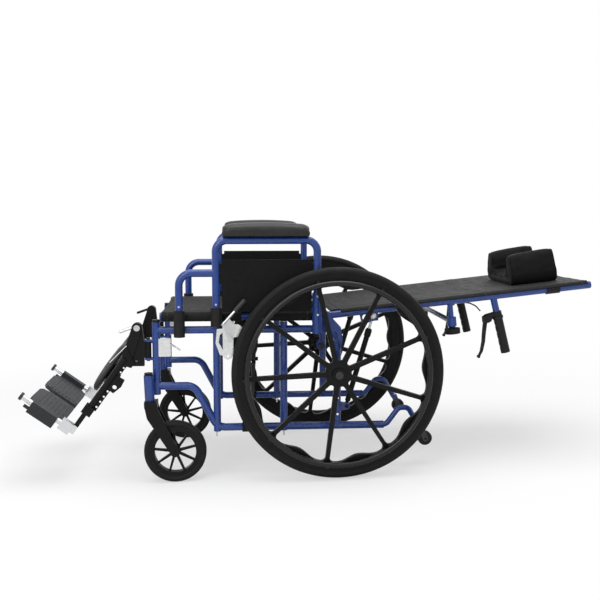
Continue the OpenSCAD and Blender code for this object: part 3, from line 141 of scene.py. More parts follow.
def add_camera():
    yaw, pitch, roll = (math.radians(a) for a in CAMERA_TURN)
    forward, right, up = Vector((-1, 0, 0)), Vector((0, 1, 0)), Vector((0, 0, 1))
    f2 = math.cos(yaw) * forward + math.sin(yaw) * right
    r2 = -math.sin(yaw) * forward + math.cos(yaw) * right
    f3 = math.cos(pitch) * f2 - math.sin(pitch) * up
    u3 = math.sin(pitch) * f2 + math.cos(pitch) * up
    r4 = math.cos(roll) * r2 + math.sin(roll) * u3
    u4 = -math.sin(roll) * r2 + math.cos(roll) * u3
    data = bpy.data.cameras.new("camera")
    data.sensor_width = SENSOR_MM
    data.lens = SENSOR_MM * FOCAL_PX / IMAGE_PX
    data.clip_end = 50
    camera = bpy.data.objects.new("camera", data)
    SCENE.collection.objects.link(camera)
    turn = Matrix((r4, u4, -f3)).transposed().to_4x4()
    camera.matrix_world = Matrix.Translation(CAMERA_PLACE) @ turn
    SCENE.camera = camera


add_camera()


# Materials

class Surface:
    """A procedural material. Its patterns run on the object's own coordinates, in metres."""

    def __init__(self, name):
        self.material = bpy.data.materials.new(name)
        self.material.use_nodes = True
        self.tree = self.material.node_tree
        self.tree.nodes.clear()
        self.out = self.tree.nodes.new("ShaderNodeOutputMaterial")
        self.shader = self.node("ShaderNodeBsdfPrincipled")
        self.tree.links.new(self.shader.outputs[0], self.out.inputs[0])
        self.place = self.node("ShaderNodeTexCoord").outputs["Object"]
        self.normal = None

    def node(self, kind, values=None, **props):
        n = self.tree.nodes.new(kind)
        for key, value in props.items():
            setattr(n, key, value)
        for key, value in (values or {}).items():
            self.put(n.inputs[key], value)
        return n

    def put(self, socket, value):
        if isinstance(value, bpy.types.NodeSocket):
            self.tree.links.new(value, socket)
        else:
            socket.default_value = value

    def set(self, **values):
        for key, value in values.items():
            self.put(self.shader.inputs[key.replace("_", " ").title().replace("Ior", "IOR")], value)

    def math(self, operation, a, b=0.0, clamp=False):
        n = self.node("ShaderNodeMath", operation=operation, use_clamp=clamp)
        self.put(n.inputs[0], a)
        self.put(n.inputs[1], b)
        return n.outputs[0]

    def scaled(self, x, y, z):
        return self.node("ShaderNodeMapping", {"Vector": self.place, "Scale": (x, y, z)}).outputs[0]

    def noise(self, scale, detail=3.0, rough=0.55, vector=None):
        n = self.node("ShaderNodeTexNoise",
                      {"Vector": vector or self.place, "Scale": scale, "Detail": detail, "Roughness": rough})
        return n.outputs["Fac"]

    def cells(self, scale, feature="F1"):
        n = self.node("ShaderNodeTexVoronoi", {"Vector": self.place, "Scale": scale}, feature=feature)
        return n.outputs["Distance"]

    def wave(self, scale, vector=None, direction="X"):
        n = self.node("ShaderNodeTexWave", {"Vector": vector or self.place, "Scale": scale},
                      wave_type="BANDS", bands_direction=direction, wave_profile="SIN")
        return n.outputs["Fac"]

    def span(self, value, lo, hi, a=0.0, b=1.0):
        n = self.node("ShaderNodeMapRange", {"Value": value, "From Min": lo, "From Max": hi,
                                             "To Min": a, "To Max": b})
        return n.outputs[0]

    def mix(self, factor, a, b):
        n = self.node("ShaderNodeMix", data_type="RGBA")
        for socket, value in zip((n.inputs[0], n.inputs[6], n.inputs[7]), (factor, a, b)):
            self.put(socket, value)
        return n.outputs[2]

    def along(self, origin, direction):
        """How far a point lies from origin in a direction, in metres."""
        moved = self.node("ShaderNodeVectorMath", {0: self.place, 1: tuple(origin)}, operation="SUBTRACT")
        dot = self.node("ShaderNodeVectorMath", {0: moved.outputs[0], 1: tuple(direction)},
                        operation="DOT_PRODUCT")
        return dot.outputs["Value"]

    def bump(self, height, strength, distance):
        n = self.node("ShaderNodeBump", {"Height": height, "Strength": strength, "Distance": distance})
        if self.normal is not None:
            self.put(n.inputs["Normal"], self.normal)
        self.normal = n.outputs[0]
        self.put(self.shader.inputs["Normal"], self.normal)

    def worn_edges(self, lo=0.53, hi=0.60):
        """1 on outward edges, broken up as rubbing leaves them."""
        edge = self.span(self.node("ShaderNodeNewGeometry").outputs["Pointiness"], lo, hi)
        return self.math("MULTIPLY", edge, self.span(self.noise(160), 0.45, 0.62), clamp=True)


def rgb(*c):
    return (*c, 1.0)


def painted(name, colour, dark, bright, rough, peel, coat, gloss=0.4):
    """Powder coat: orange peel, slight cloudiness and thin wear on the edges."""
    m = Surface(name)
    cloud = m.noise(9.0)
    base = m.mix(m.span(cloud, 0.35, 0.65), rgb(*dark), rgb(*colour))
    base = m.mix(m.math("MULTIPLY", m.worn_edges(0.60, 0.70), 0.14), base, rgb(*bright))
    m.set(base_color=base, roughness=m.span(m.noise(45.0), 0.3, 0.7, rough - 0.05, rough + 0.07),
          coat_weight=coat, coat_roughness=0.12, specular_ior_level=gloss)
    m.bump(m.noise(520.0, 1.0), peel, 0.0004)
    return m


def moulded(name, colour, rough, grain, scale, edge=0.12, gloss=0.3):
    """Moulded plastic: fine grain, mottling and slightly polished edges."""
    m = Surface(name)
    cloud = m.noise(14.0, 4.0)
    pale = tuple(c * 1.35 + 0.001 for c in colour)
    base = m.mix(m.span(cloud, 0.3, 0.7, 0.0, 0.6), rgb(*colour), rgb(*pale))
    base = m.mix(m.math("MULTIPLY", m.worn_edges(), edge), base, rgb(0.06, 0.06, 0.062))
    m.set(base_color=base, roughness=m.span(m.noise(70.0, 4.0), 0.3, 0.7, rough - 0.05, rough + 0.05),
          specular_ior_level=gloss)
    m.bump(m.cells(scale), grain, 0.0003)
    m.bump(m.noise(18.0), 0.06, 0.002)
    return m


def plated(name, shade, rough):
    """Zinc plate: fine drawing lines and a cloudy tint."""
    m = Surface(name)
    tint = m.mix(m.span(m.noise(26.0), 0.35, 0.65), rgb(shade * 0.93, shade * 0.94, shade * 0.96),
                 rgb(shade, shade, shade * 0.985))
    lines = m.noise(240.0, 2.0, vector=m.scaled(1.0, 0.12, 1.0))
    m.set(base_color=tint, metallic=1.0, roughness=m.span(lines, 0.3, 0.7, rough - 0.04, rough + 0.06))
    m.bump(lines, 0.06, 0.0002)
    return m


def tyre_rubber(name, pitch, tread):
    """Matt rubber: moulding ribs round the tyre, patches of dust, and a scuffed tread."""
    m = Surface(name)
    ribs = m.wave(pitch)
    dust = m.math("MULTIPLY", m.span(m.noise(22.0, 5.0), 0.45, 0.75), 0.35)
    base = m.mix(dust, rgb(0.0055, 0.0055, 0.0055), rgb(0.016, 0.0158, 0.0155))
    m.set(base_color=base, roughness=m.span(m.noise(90.0), 0.3, 0.7, 0.55, 0.68), specular_ior_level=0.2)
    m.bump(ribs, tread, 0.0006)
    m.bump(m.noise(700.0, 2.0), 0.25, 0.0003)
    return m


def woven(name, colour, thread, origin, stitches, sheen=0.06, gloss=0.18):
    """Nylon weave with sheen. Stitches are (distance from origin, along which axis) rows of thread."""
    m = Surface(name)
    warp, weft = m.wave(170.0, direction="X"), m.wave(170.0, direction="Y")
    weave = m.math("MAXIMUM", m.math("POWER", warp, 2.0), m.math("POWER", weft, 2.0))
    cloud = m.noise(7.0, 5.0)
    pale = tuple(c * 1.5 + 0.003 for c in colour)
    base = m.mix(m.span(cloud, 0.3, 0.7), rgb(*colour), rgb(*pale))
    base = m.mix(m.math("MULTIPLY", weave, 0.3), base, rgb(*thread))
    row = None
    for start, direction, run in stitches:
        d = m.math("ABSOLUTE", m.along(start, direction))
        line = m.math("LESS_THAN", d, 0.0007)
        dash = m.math("GREATER_THAN", m.math("FRACT", m.math("MULTIPLY", m.along(origin, run), 220.0)), 0.28)
        here = m.math("MULTIPLY", line, dash)
        row = here if row is None else m.math("MAXIMUM", row, here)
    if row is not None:
        base = m.mix(m.math("MULTIPLY", row, 0.8), base, rgb(0.075, 0.075, 0.08))
        m.bump(row, 0.6, 0.0006)
    m.set(base_color=base, roughness=m.span(m.noise(60.0), 0.3, 0.7, 0.62, 0.78),
          sheen_weight=sheen, sheen_roughness=0.45, sheen_tint=rgb(0.5, 0.5, 0.52), specular_ior_level=gloss)
    m.bump(weave, 0.35, 0.0003)
    m.bump(m.noise(38.0, 4.0), 0.18, 0.002)
    return m


def vinyl(name, colour, rough, grain=0.35):
    """Grained vinyl skin over foam: pebbled and softly shining."""
    m = Surface(name)
    pebble = m.cells(900.0)
    fold = m.noise(55.0, 5.0)
    pale = tuple(c * 1.4 + 0.002 for c in colour)
    base = m.mix(m.span(fold, 0.3, 0.7), rgb(*colour), rgb(*pale))
    m.set(base_color=base, roughness=m.span(m.noise(24.0, 4.0), 0.3, 0.7, rough - 0.06, rough + 0.08),
          specular_ior_level=0.35, sheen_weight=0.03)
    m.bump(pebble, grain, 0.0004)
    m.bump(fold, 0.12, 0.001)
    return m


def with_bright(m, mask, shade=0.62, rough=0.26):
    """Adds a bright metal area to a surface, where mask is 1."""
    for key, value in (("Base Color", rgb(shade, shade * 1.01, shade * 1.03)), ("Roughness", rough),
                       ("Metallic", 1.0)):
        socket = m.shader.inputs[key]
        old = socket.links[0].from_socket if socket.is_linked else None
        if key == "Base Color":
            m.put(socket, m.mix(mask, old, value))
        elif key == "Metallic":
            m.put(socket, mask)
        else:
            n = m.node("ShaderNodeMix", data_type="FLOAT")
            m.put(n.inputs[0], mask)
            m.put(n.inputs[2], old)
            m.put(n.inputs[3], value)
            m.put(socket, n.outputs[0])
    return m


def with_black(m, mask):
    """Turns an area of a plated surface to black plastic, where mask is 1."""
    socket = m.shader.inputs["Base Color"]
    m.put(socket, m.mix(mask, socket.links[0].from_socket, rgb(0.014, 0.014, 0.015)))
    m.put(m.shader.inputs["Metallic"], m.math("SUBTRACT", 1.0, mask))
    socket = m.shader.inputs["Roughness"]
    m.put(socket, m.math("ADD", socket.links[0].from_socket, m.math("MULTIPLY", mask, 0.22)))
    return m


def with_dark(m, mask, colour=(0.006, 0.006, 0.0065)):
    """Paints an area of a surface black, where mask is 1."""
    socket = m.shader.inputs["Base Color"]
    m.put(socket, m.mix(mask, socket.links[0].from_socket, rgb(*colour)))
    return m


def above(m, value, edge):
    return m.math("GREATER_THAN", value, edge)


def below(m, value, edge):
    return m.math("LESS_THAN", value, edge)


def both(m, a, b):
    return m.math("MULTIPLY", a, b)


def either(m, a, b):
    return m.math("MAXIMUM", a, b)


def outside(m):
    """How far a point is from the chair's middle plane."""
    return m.math("ABSOLUTE", m.along((0, 0, 0), (1, 0, 0)))


# Colour, its darker clouds and its worn edges
BLUE = ((0.011, 0.048, 0.245), (0.009, 0.040, 0.21), (0.07, 0.13, 0.34))
BLUE_COAT = {"rough": 0.27, "peel": 0.08, "coat": 0.35}
BLACK = ((0.006, 0.006, 0.006), (0.004, 0.004, 0.004), (0.06, 0.06, 0.062))
BLACK_COAT = {"rough": 0.36, "peel": 0.12, "coat": 0.04, "gloss": 0.14}
frame_blue = painted("frame_blue", *BLUE, **BLUE_COAT)
arm_blue = painted("arm_blue", *BLUE, **BLUE_COAT)
with_bright(arm_blue, above(arm_blue, outside(arm_blue), 0.2625))
tipper_blue = painted("tipper_blue", *BLUE, **BLUE_COAT)
with_dark(tipper_blue, below(tipper_blue, tipper_blue.along(leaned(0, 262, 116), (0, -0.45, 0.9)), 0.0))
black_metal = painted("black_metal", *BLACK, **BLACK_COAT)
black_plastic = moulded("black_plastic", (0.0055, 0.0055, 0.0055), 0.48, 0.25, 900.0, gloss=0.22)
panel_plastic = moulded("panel_plastic", (0.004, 0.004, 0.004), 0.52, 0.35, 520.0, edge=0.03, gloss=0.12)
grip_rubber = moulded("grip_rubber", (0.011, 0.011, 0.0105), 0.58, 0.5, 620.0, edge=0.08, gloss=0.22)
wheel_plastic = moulded("wheel_plastic", (0.0045, 0.0045, 0.0043), 0.38, 0.12, 900.0, edge=0.05, gloss=0.15)
rim_black = moulded("rim_black", (0.005, 0.005, 0.005), 0.27, 0.06, 900.0, edge=0.1, gloss=0.35)
bright_metal = plated("bright_metal", 0.63, 0.24)
tyre_black = tyre_rubber("tyre_black", 62.0, 0.3)
caster_black = tyre_rubber("caster_black", 40.0, 0.25)
plate_grey = moulded("plate_grey", (0.021, 0.022, 0.025), 0.5, 0.4, 650.0, edge=0.2, gloss=0.25)

hub_metal = plated("hub_metal", 0.76, 0.25)
with_black(hub_metal, either(hub_metal, above(hub_metal, outside(hub_metal), 0.30),
                             below(hub_metal, outside(hub_metal), 0.2072)))

lever_metal = plated("lever_metal", 0.66, 0.22)
GRIP_FROM = leaned(0, -294, 484)
with_black(lever_metal, above(lever_metal, lever_metal.along(GRIP_FROM, (0, 0.67, 0.74)), 0.0))

LEG_0 = on_leg(0, 0, 0)
LEG_T = (on_leg(0, 1, 0) - LEG_0).normalized()
LEG_Q = (on_leg(0, 0, 1) - LEG_0).normalized()


def leg_surface():
    """The leg's black paint, bright on its disc, its wire and its foot end."""
    m = painted("leg_black", *BLACK, **BLACK_COAT)
    t, q, out = m.along(LEG_0, LEG_T), m.along(LEG_0, LEG_Q), outside(m)
    outer = above(m, out, 0.2287)
    disc = both(m, outer, both(m, below(m, t, 0.012), below(m, q, 0.012)))
    wire = both(m, outer, both(m, below(m, q, 0.0075), below(m, t, 0.130)))
    foot = above(m, t, 0.3345)
    return with_bright(m, either(m, foot, either(m, disc, wire)))


leg_black = leg_surface()
hinge_metal = plated("hinge_metal", 0.66, 0.2)
with_black(hinge_metal, above(hinge_metal, hinge_metal.along(on_leg(0, 0, -149), -LEG_Q), 0.0))

NODE_SURFACES = {
    "side_frame": frame_blue, "arm_sockets": black_plastic, "hardware": hub_metal, "anti_tipper": tipper_blue,
    "anti_tip_wheel": black_plastic, "wheel_tyre": tyre_black, "wheel_rim": wheel_plastic,
    "handrim": rim_black, "caster_fork": black_metal, "caster_rim": wheel_plastic,
    "caster_tyre": caster_black, "lock_lever": lever_metal, "arm_frame": arm_blue,
    "side_panel": panel_plastic, "back_cane": frame_blue, "push_grip": grip_rubber,
    "cane_fittings": black_plastic, "release_lever": black_plastic, "recline_cylinder": black_metal,
    "cylinder_rod": bright_metal, "legrest_hanger": black_metal, "leg_tube": leg_black,
    "footplate": plate_grey, "footplate_hinge": hinge_metal, "cross_brace_a": black_metal,
    "cross_brace_b": black_metal, "left_seat_rail": frame_blue, "right_seat_rail": frame_blue,
    "spreader_bar": frame_blue, "arm_pad": black_plastic, "calf_pad": black_plastic,
    "seat_upholstery": black_plastic, "back_upholstery": black_plastic, "headrest": black_plastic,
}
for name, obj in NODES.items():
    surface = NODE_SURFACES.get(name) or NODE_SURFACES[name.split("_", 1)[1]]
    for slot in obj.material_slots:
        slot.material = surface.material


# Mesh building

def mesh_object(name, points, faces, surface):
    mesh = bpy.data.meshes.new(name)
    mesh.from_pydata([tuple(p) for p in points], [], faces)
    mesh.update()
    obj = bpy.data.objects.new(name, mesh)
    SCENE.collection.objects.link(obj)
    mesh.materials.append(surface.material)
    for face in mesh.polygons:
        face.use_smooth = True
    return obj


def loft(rings, closed=False):
    """Points and faces of a skin over rings of equal count. Its ends are capped unless closed is true."""
    n, points, faces = len(rings[0]), [p for ring in rings for p in ring], []
    for i in range(len(rings) - (0 if closed else 1)):
        a, b = i * n, ((i + 1) % len(rings)) * n
        faces += [(a + j, a + (j + 1) % n, b + (j + 1) % n, b + j) for j in range(n)]
    if not closed:
        faces += [tuple(range(n - 1, -1, -1)), tuple(range(len(points) - n, len(points)))]
    return points, faces


def merge(*parts):
    """Several skins as one list of points and one of faces."""
    points, faces = [], []
    for p, f in parts:
        faces += [tuple(i + len(points) for i in face) for face in f]
        points += p
    return points, faces


def cord(path, radius, closed=False, sides=8):
    """A thin round bead along a path."""
    rings, n = [], len(path)
    side = None
    for i, p in enumerate(path):
        if closed:
            ahead = path[(i + 1) % n] - path[i - 1]
        else:
            ahead = path[min(i + 1, n - 1)] - path[max(i - 1, 0)]
        ahead.normalize()
        if side is None:
            side = ahead.orthogonal().normalized()
        side = (side - ahead * side.dot(ahead)).normalized()
        other = ahead.cross(side)
        rings.append([p + (side * math.cos(a) + other * math.sin(a)) * radius
                      for a in (2 * math.pi * k / sides for k in range(sides))])
    return loft(rings, closed)


def bake(obj):
    """Turns the object's modifiers into its mesh."""
    graph = bpy.context.evaluated_depsgraph_get()
    mesh = bpy.data.meshes.new_from_object(obj.evaluated_get(graph))
    obj.modifiers.clear()
    obj.data = mesh
    for face in mesh.polygons:
        face.use_smooth = True
    return obj


def refine(obj, levels=1):
    obj.modifiers.new("refine", "SUBSURF").levels = levels
    return bake(obj)


def puff(obj, voxel, cap, pressure, hold, frames=20):
    """Swells a closed form as stuffed cloth does. hold(point) is true where it is held still."""
    remesh = obj.modifiers.new("remesh", "REMESH")
    remesh.mode = "VOXEL"
    remesh.voxel_size = voxel
    bake(obj)
    relax = obj.modifiers.new("relax", "SMOOTH")
    relax.iterations = 4
    bake(obj)
    start = [v.co.copy() for v in obj.data.vertices]
    group = obj.vertex_groups.new(name="held")
    group.add([i for i, p in enumerate(start) if hold(p)], 1.0, "REPLACE")
    cloth = obj.modifiers.new("cloth", "CLOTH")
    cloth.settings.use_pressure = True
    cloth.settings.uniform_pressure_force = pressure
    cloth.settings.effector_weights.gravity = 0
    cloth.settings.vertex_group_mass = "held"
    cloth.settings.tension_stiffness = cloth.settings.compression_stiffness = 25
    cloth.settings.bending_stiffness = 1.2
    cloth.point_cache.frame_start = 1
    cloth.point_cache.frame_end = frames
    for f in range(1, frames + 1):
        SCENE.frame_set(f)
    bake(obj)
    SCENE.frame_set(1)
    for v, p in zip(obj.data.vertices, start):
        move = v.co - p
        if move.length > cap:
            v.co = p + move * (cap / move.length)
    obj.data.update()
    return obj


def surface_tree(obj):
    return BVHTree.FromPolygons([v.co.copy() for v in obj.data.vertices],
                                [tuple(f.vertices) for f in obj.data.polygons])


def snapped(path, tree, lift=0.0):
    """A path laid on a surface."""
    found = []
    for p in path:
        at, normal, _, _ = tree.find_nearest(p)
        found.append(at + normal * lift)
    return found


def joined(obj, *parts):
    """Adds further closed skins to an object's mesh."""
    mesh = obj.data
    points, faces = merge(([v.co.copy() for v in mesh.vertices], [tuple(f.vertices) for f in mesh.polygons]),
                          *parts)
    fresh = bpy.data.meshes.new(obj.name)
    fresh.from_pydata([tuple(p) for p in points], [], faces)
    fresh.update()
    for material in mesh.materials:
        fresh.materials.append(material)
    for face in fresh.polygons:
        face.use_smooth = True
    obj.vertex_groups.clear()
    obj.data = fresh
    return obj


def finish_piece(obj, body, node, fold=False):
    """Rides a padded piece on its body in its node's place. With fold it gets a mesh of its own."""
    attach(obj, body)
    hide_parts(node)
    if fold:
        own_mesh(obj)
    return obj


# Seat and back slings: padded nylon whose hems wrap round the tubes

def sling_ring(place, v, thick, sag, wrap, ease, raised, puffed, columns=72, arc=10):
    """One closed ring across a sling at v along it, from the left hem under to the right and back over."""
    half = SIDE_X
    out_r, in_r = HEM_IN + HEM_T, HEM_IN + ease

    def hem(r, a0, a1, sign):
        return [(sign * (half + r * math.cos(math.radians(a0 + (a1 - a0) * i / arc))),
                 r * math.sin(math.radians(a0 + (a1 - a0) * i / arc))) for i in range(arc + 1)]

    def top(x):
        u = abs(x) / half
        z = out_r - sag * (1 - u * u)
        return z + puffed(x, v)

    def under(x):
        u = abs(x) / half
        return out_r - thick - sag * (1 - u * u) + (thick - HEM_T) * u ** 8

    xs = [half * (1 - 2 * i / columns) for i in range(1, columns)]
    ring = hem(out_r, 90, wrap, 1) + hem(in_r, wrap, 90, 1)
    ring += [(x, under(x)) for x in xs]
    ring += hem(in_r, 90, wrap, -1) + hem(out_r, wrap, 90, -1)
    ring += [(x, top(x)) for x in reversed(xs)]
    return [place(x, v, z + raised) for x, z in ring]


def creases(x, v, seed, size, stretch):
    """Small folds of stretched cloth, in millimetres."""
    p = Vector((x / 90, v / (26 * stretch), seed))
    return size * (noise.noise(p) + 0.5 * noise.noise(p * 2.3))


def seat_puff(x, v):
    a = abs(x)
    inside = smooth(196, 182, a)
    ends = smooth(SEAT_Y[0] + 9, SEAT_Y[0] + 26, v) * smooth(SEAT_Y[1] - 9, SEAT_Y[1] - 26, v)
    seams = bell(a - 190, 2.6) + bell(v - SEAT_Y[0] - END_SEAM, 2.6) + bell(v - SEAT_Y[1] + END_SEAM, 2.6)
    return 2.2 * inside * ends - 1.1 * min(1, seams) + creases(x, v, 3.1, 1.0, 1.4) * inside


# Beside the braces' collars the hem turns back up: distance from the gap's end, and the hem's angle
HEM_UP = ((0.4, -80), (0.8, -58), (1.2, -30), (1.6, 10), (2, 60))


def seat_sling():
    gaps = (BRACE_Y[0] - BRACE_CUT, BRACE_Y[1] + BRACE_CUT)
    lines = [SEAT_Y[0] + d for d in (0, 1.2, 3, 6, 10, 14, 17, 20, 24)]
    lines += [lines[-1] + (gaps[0] - lines[-1]) * i / 26 for i in range(1, 27)]
    lines += [gaps[0] + d for d, _ in HEM_UP[:-1]]
    lines += [gaps[0] + 2 + (gaps[1] - gaps[0] - 4) * i / 7 for i in range(8)]
    lines += [gaps[1] - d for d, _ in HEM_UP[-2::-1]]
    lines += [gaps[1] + (SEAT_Y[1] - 24 - gaps[1]) * i / 22 for i in range(23)]
    lines += [SEAT_Y[1] - d for d in (20, 17, 14, 10, 6, 3, 1.2, 0)]
    rings = []
    for v in lines:
        u = (v - SEAT_Y[0]) / (SEAT_Y[1] - SEAT_Y[0])
        sag = SEAT_SAG * (0.35 + 0.65 * math.sin(math.pi * u))
        inner = min(v - gaps[0], gaps[1] - v)
        wrap = next((w for d, w in reversed(HEM_UP) if inner > d - 0.01), SEAT_WRAP)
        edge = min(v - SEAT_Y[0], SEAT_Y[1] - v)
        thick = SEAT_T * (0.62 + 0.38 * smooth(0, 4, edge))
        ease = HEM_EASE if wrap > SEAT_WRAP else 0
        raised = HEM_LIFT if wrap > 0 else 0
        rings.append(sling_ring(on_seat, v, thick, sag, wrap, ease, raised,
                                lambda x, at, t=thick: seat_puff(x, at) - (SEAT_T - t) * 0.5))
    return loft(rings)


BACK_SEAMS = (262, 476)
SIDE_SEAMS = (190, 194)


def back_puff(x, s):
    a = abs(x)
    inside = smooth(196, 180, a)
    ends = smooth(BACK_S[0] + 9, BACK_S[0] + 26, s) * smooth(BACK_S[1] - 9, BACK_S[1] - 26, s)
    seams = bell(a - 190, 2.6) + bell(s - BACK_S[0] - END_SEAM, 2.6) + bell(s - BACK_S[1] + END_SEAM, 2.6)
    seams += sum(bell(s - c, 3.0) for c in BACK_SEAMS)
    upper = BACK_SEAMS[1]
    lap = 2.2 * smooth(upper + 14, upper + 10, s) * smooth(upper - 30, upper, s)
    folds = creases(x, s, 7.7, 1.7, 1.0) * inside
    folds += 1.8 * bell(s - upper - 16, 7) * (0.5 + noise.noise(Vector((x / 45, 2.0, 5.0))))
    return (2.0 * inside * ends + lap) * (1 - 0.5 * smooth(530, 545, s)) - 1.1 * min(1, seams) + folds


# Past the hinge plate the hem turns down the canes: distance from BACK_FROM, and the hem's angle
BACK_HEM = ((-4, 86), (-3, 66), (-1.5, 42), (0, BACK_WRAP))


def back_dip(s):
    """How far the middle of the back hangs below the canes at s along it."""
    return BACK_SAG * (0.4 + 0.6 * math.sin(math.pi * (s - BACK_S[0]) / (BACK_S[1] - BACK_S[0])))


def back_sling():
    count = 94
    lines = [BACK_S[0] + d for d in (0, 1.2, 3, 6, 10)]
    lines += [BACK_S[0] + 14 + (BACK_FROM - BACK_S[0] - 20) * i / 4 for i in range(5)]
    lines += [BACK_FROM + d for d, _ in BACK_HEM]
    lines += [BACK_FROM + 4 + (BACK_S[1] - BACK_FROM - 18) * i / count for i in range(count + 1)]
    lines += [BACK_S[1] - d for d in (10, 6, 3, 1.2, 0)]
    rings = []
    for s in lines:
        edge = min(s - BACK_S[0], BACK_S[1] - s)
        thick = BACK_T * (0.62 + 0.38 * smooth(0, 4, edge))
        wrap = next((w for d, w in reversed(BACK_HEM) if s > BACK_FROM + d - 0.01), BACK_HEM[0][1])
        ease = HEM_EASE if wrap > BACK_WRAP else 0
        rings.append(sling_ring(on_back, s, thick, back_dip(s), wrap, ease, 0,
                                lambda x, at, t=thick: back_puff(x, at) - (BACK_T - t) * 0.5))
    return loft(rings)


def unit(place):
    """The three directions of a placing function, and its origin."""
    origin = place(0, 0, 0)
    return origin, *((place(*d) - origin).normalized() for d in ((1, 0, 0), (0, 1, 0), (0, 0, 1)))


def add_slings():
    seat_0, ex, ey, _ = unit(on_seat)
    rows = [(on_seat(k * x, 0, 0), ex, ey) for x in SIDE_SEAMS for k in (1, -1)]
    rows += [(on_seat(0, v, 0), ey, ex) for v in (SEAT_Y[0] + END_SEAM, SEAT_Y[1] - END_SEAM)]
    cloth = woven("seat_cloth", (0.005, 0.005, 0.005), (0.015, 0.015, 0.015), seat_0, rows)
    seat = mesh_object("seat_sling", *seat_sling(), cloth)
    finish_piece(seat, "left_seat_rail", "seat_upholstery", fold=True)

    back_0, ex, ey, _ = unit(on_back)
    rows = [(on_back(k * x, 0, 0), ex, ey) for x in SIDE_SEAMS for k in (1, -1)]
    rows += [(on_back(0, s, 0), ey, ex) for s in (BACK_S[0] + END_SEAM, *BACK_SEAMS, BACK_S[1] - END_SEAM)]
    cloth = woven("back_cloth", (0.005, 0.005, 0.005), (0.016, 0.016, 0.016), back_0, rows)
    back = mesh_object("back_sling", *back_sling(), cloth)
    finish_piece(back, "left_cane", "back_upholstery", fold=True)


add_slings()


# Headrest: a base and two thick wings, piped along their edges

def rest_profile():
    """The headrest's outline seen along the back, in millimetres, as the CAD has it."""
    a, h = HEADREST_W / 2, HEADREST_H
    outer = [(a - 34, h), (a - 23, h - 3), (a - 16, h - 12), (a - 6, 58), (a, 30), (a - 2, 12), (a - 11, 1),
             (50, 0)]
    inner = [(a - 48, h - 1), (a - 56, h - 5), (a - 59, h - 14), (a - 60, 58), (a - 64, 40), (a - 72, 32),
             (a - 84, 29), (30, 28)]
    half = outer[::-1] + inner
    return half[::-1] + [(-x, z) for x, z in half]


def rest_point(p, u):
    """A point of the headrest's outline at u along its length, from -1 to 1."""
    k = math.sqrt(1 - abs(u) ** 6 * 0.55)
    dip = back_dip(HEADREST_AT + HEADREST_L / 2)
    z = p[1] * (0.86 + 0.14 * k) - dip * (1 - (p[0] / SIDE_X) ** 2)
    lift = z / HEADREST_H
    return on_back(p[0] * (0.9 + 0.1 * k), HEADREST_AT + u * HEADREST_L / 2 * (1 - 0.04 * lift),
                   HEM_IN + HEM_T + 0.3 + z * (1 + 0.05 * u))


def filled(points, step):
    """A closed path with points added so that none are further apart than step."""
    path = []
    for a, b in zip(points, points[1:] + points[:1]):
        n = max(1, math.ceil((b - a).length / step))
        path += [a.lerp(b, i / n) for i in range(n)]
    return path


def rounded(path, passes):
    """A closed path with its corners softened."""
    for _ in range(passes):
        path = [(path[i - 1] + path[i] * 2 + path[(i + 1) % len(path)]) / 4 for i in range(len(path))]
    return path


def add_headrest():
    origin, _, _, ez = unit(on_back)
    cloth = woven("headrest_cloth", (0.0035, 0.0035, 0.0035), (0.010, 0.010, 0.010), origin, (),
                  sheen=0.03, gloss=0.1)
    outline = rest_profile()
    rings = [[rest_point(p, u) for p in outline] for u in [-1 + 2 * i / 16 for i in range(17)]]
    pad = mesh_object("headrest_pad", *loft(rings), cloth)
    low = on_back(0, 0, HEM_IN + HEM_T + 6)
    puff(pad, 0.005, 0.006, 3.0, lambda p: (p - low).dot(ez) < 0)
    refine(pad)
    tree = surface_tree(pad)
    piping = []
    for u in (-0.985, 0.985):
        ring = rounded(filled([rest_point(p, u) for p in outline], 0.005), 3)
        piping.append(cord(rounded(snapped(ring, tree, 0.0002), 1), 0.0016, closed=True))
    joined(pad, *piping)
    finish_piece(pad, "left_cane", "headrest", fold=True)


add_headrest()


# Arm pads: moulded skin over foam, with a shoulder all round below the crown

ARM_PROFILE = [(0.0, 0.0), (0.5, 0.0), (0.84, 0.0), (0.92, 0.03), (0.965, 0.12), (0.99, 0.3), (1.0, 0.44),
               (0.995, 0.52), (0.965, 0.59), (0.955, 0.61), (0.90, 0.71), (0.78, 0.83), (0.60, 0.92),
               (0.40, 0.97), (0.20, 0.993), (0.0, 1.0)]


def arm_ring(x0, u):
    """The arm pad's closed section at u along its length, from 0 to 1."""
    d = min(u, 1 - u) * PAD_L
    k = 1.0 if d >= PAD_END else math.sqrt(max(0.0, 1 - (1 - d / PAD_END) ** 2))
    arch = 1 - 0.16 * (2 * abs(u - 0.5)) ** 2.2
    mid = (ARM_Y[0] + ARM_Y[1]) / 2 - 2
    side = [(x * (0.36 + 0.64 * k), v) for x, v in ARM_PROFILE]
    ring = side[1:-1] + [side[-1]] + [(-x, v) for x, v in side[-2:0:-1]] + [side[0]]
    z0 = ARM_TOP_Z + TUBE_R + 0.3
    points = []
    for x, v in ring:
        lean = v * (0.70 + 0.30 * k) * arch
        end = (1 if u > 0.5 else -1) * 3.0 * (1 - k) * (math.sin(math.pi * min(1, v / 0.6)) - 0.4)
        points.append(leaned(x0 + x * PAD_W / 2, mid + (u - 0.5) * PAD_L * PAD_INSET + end,
                             z0 + PAD_H * PAD_INSET * lean))
    return points


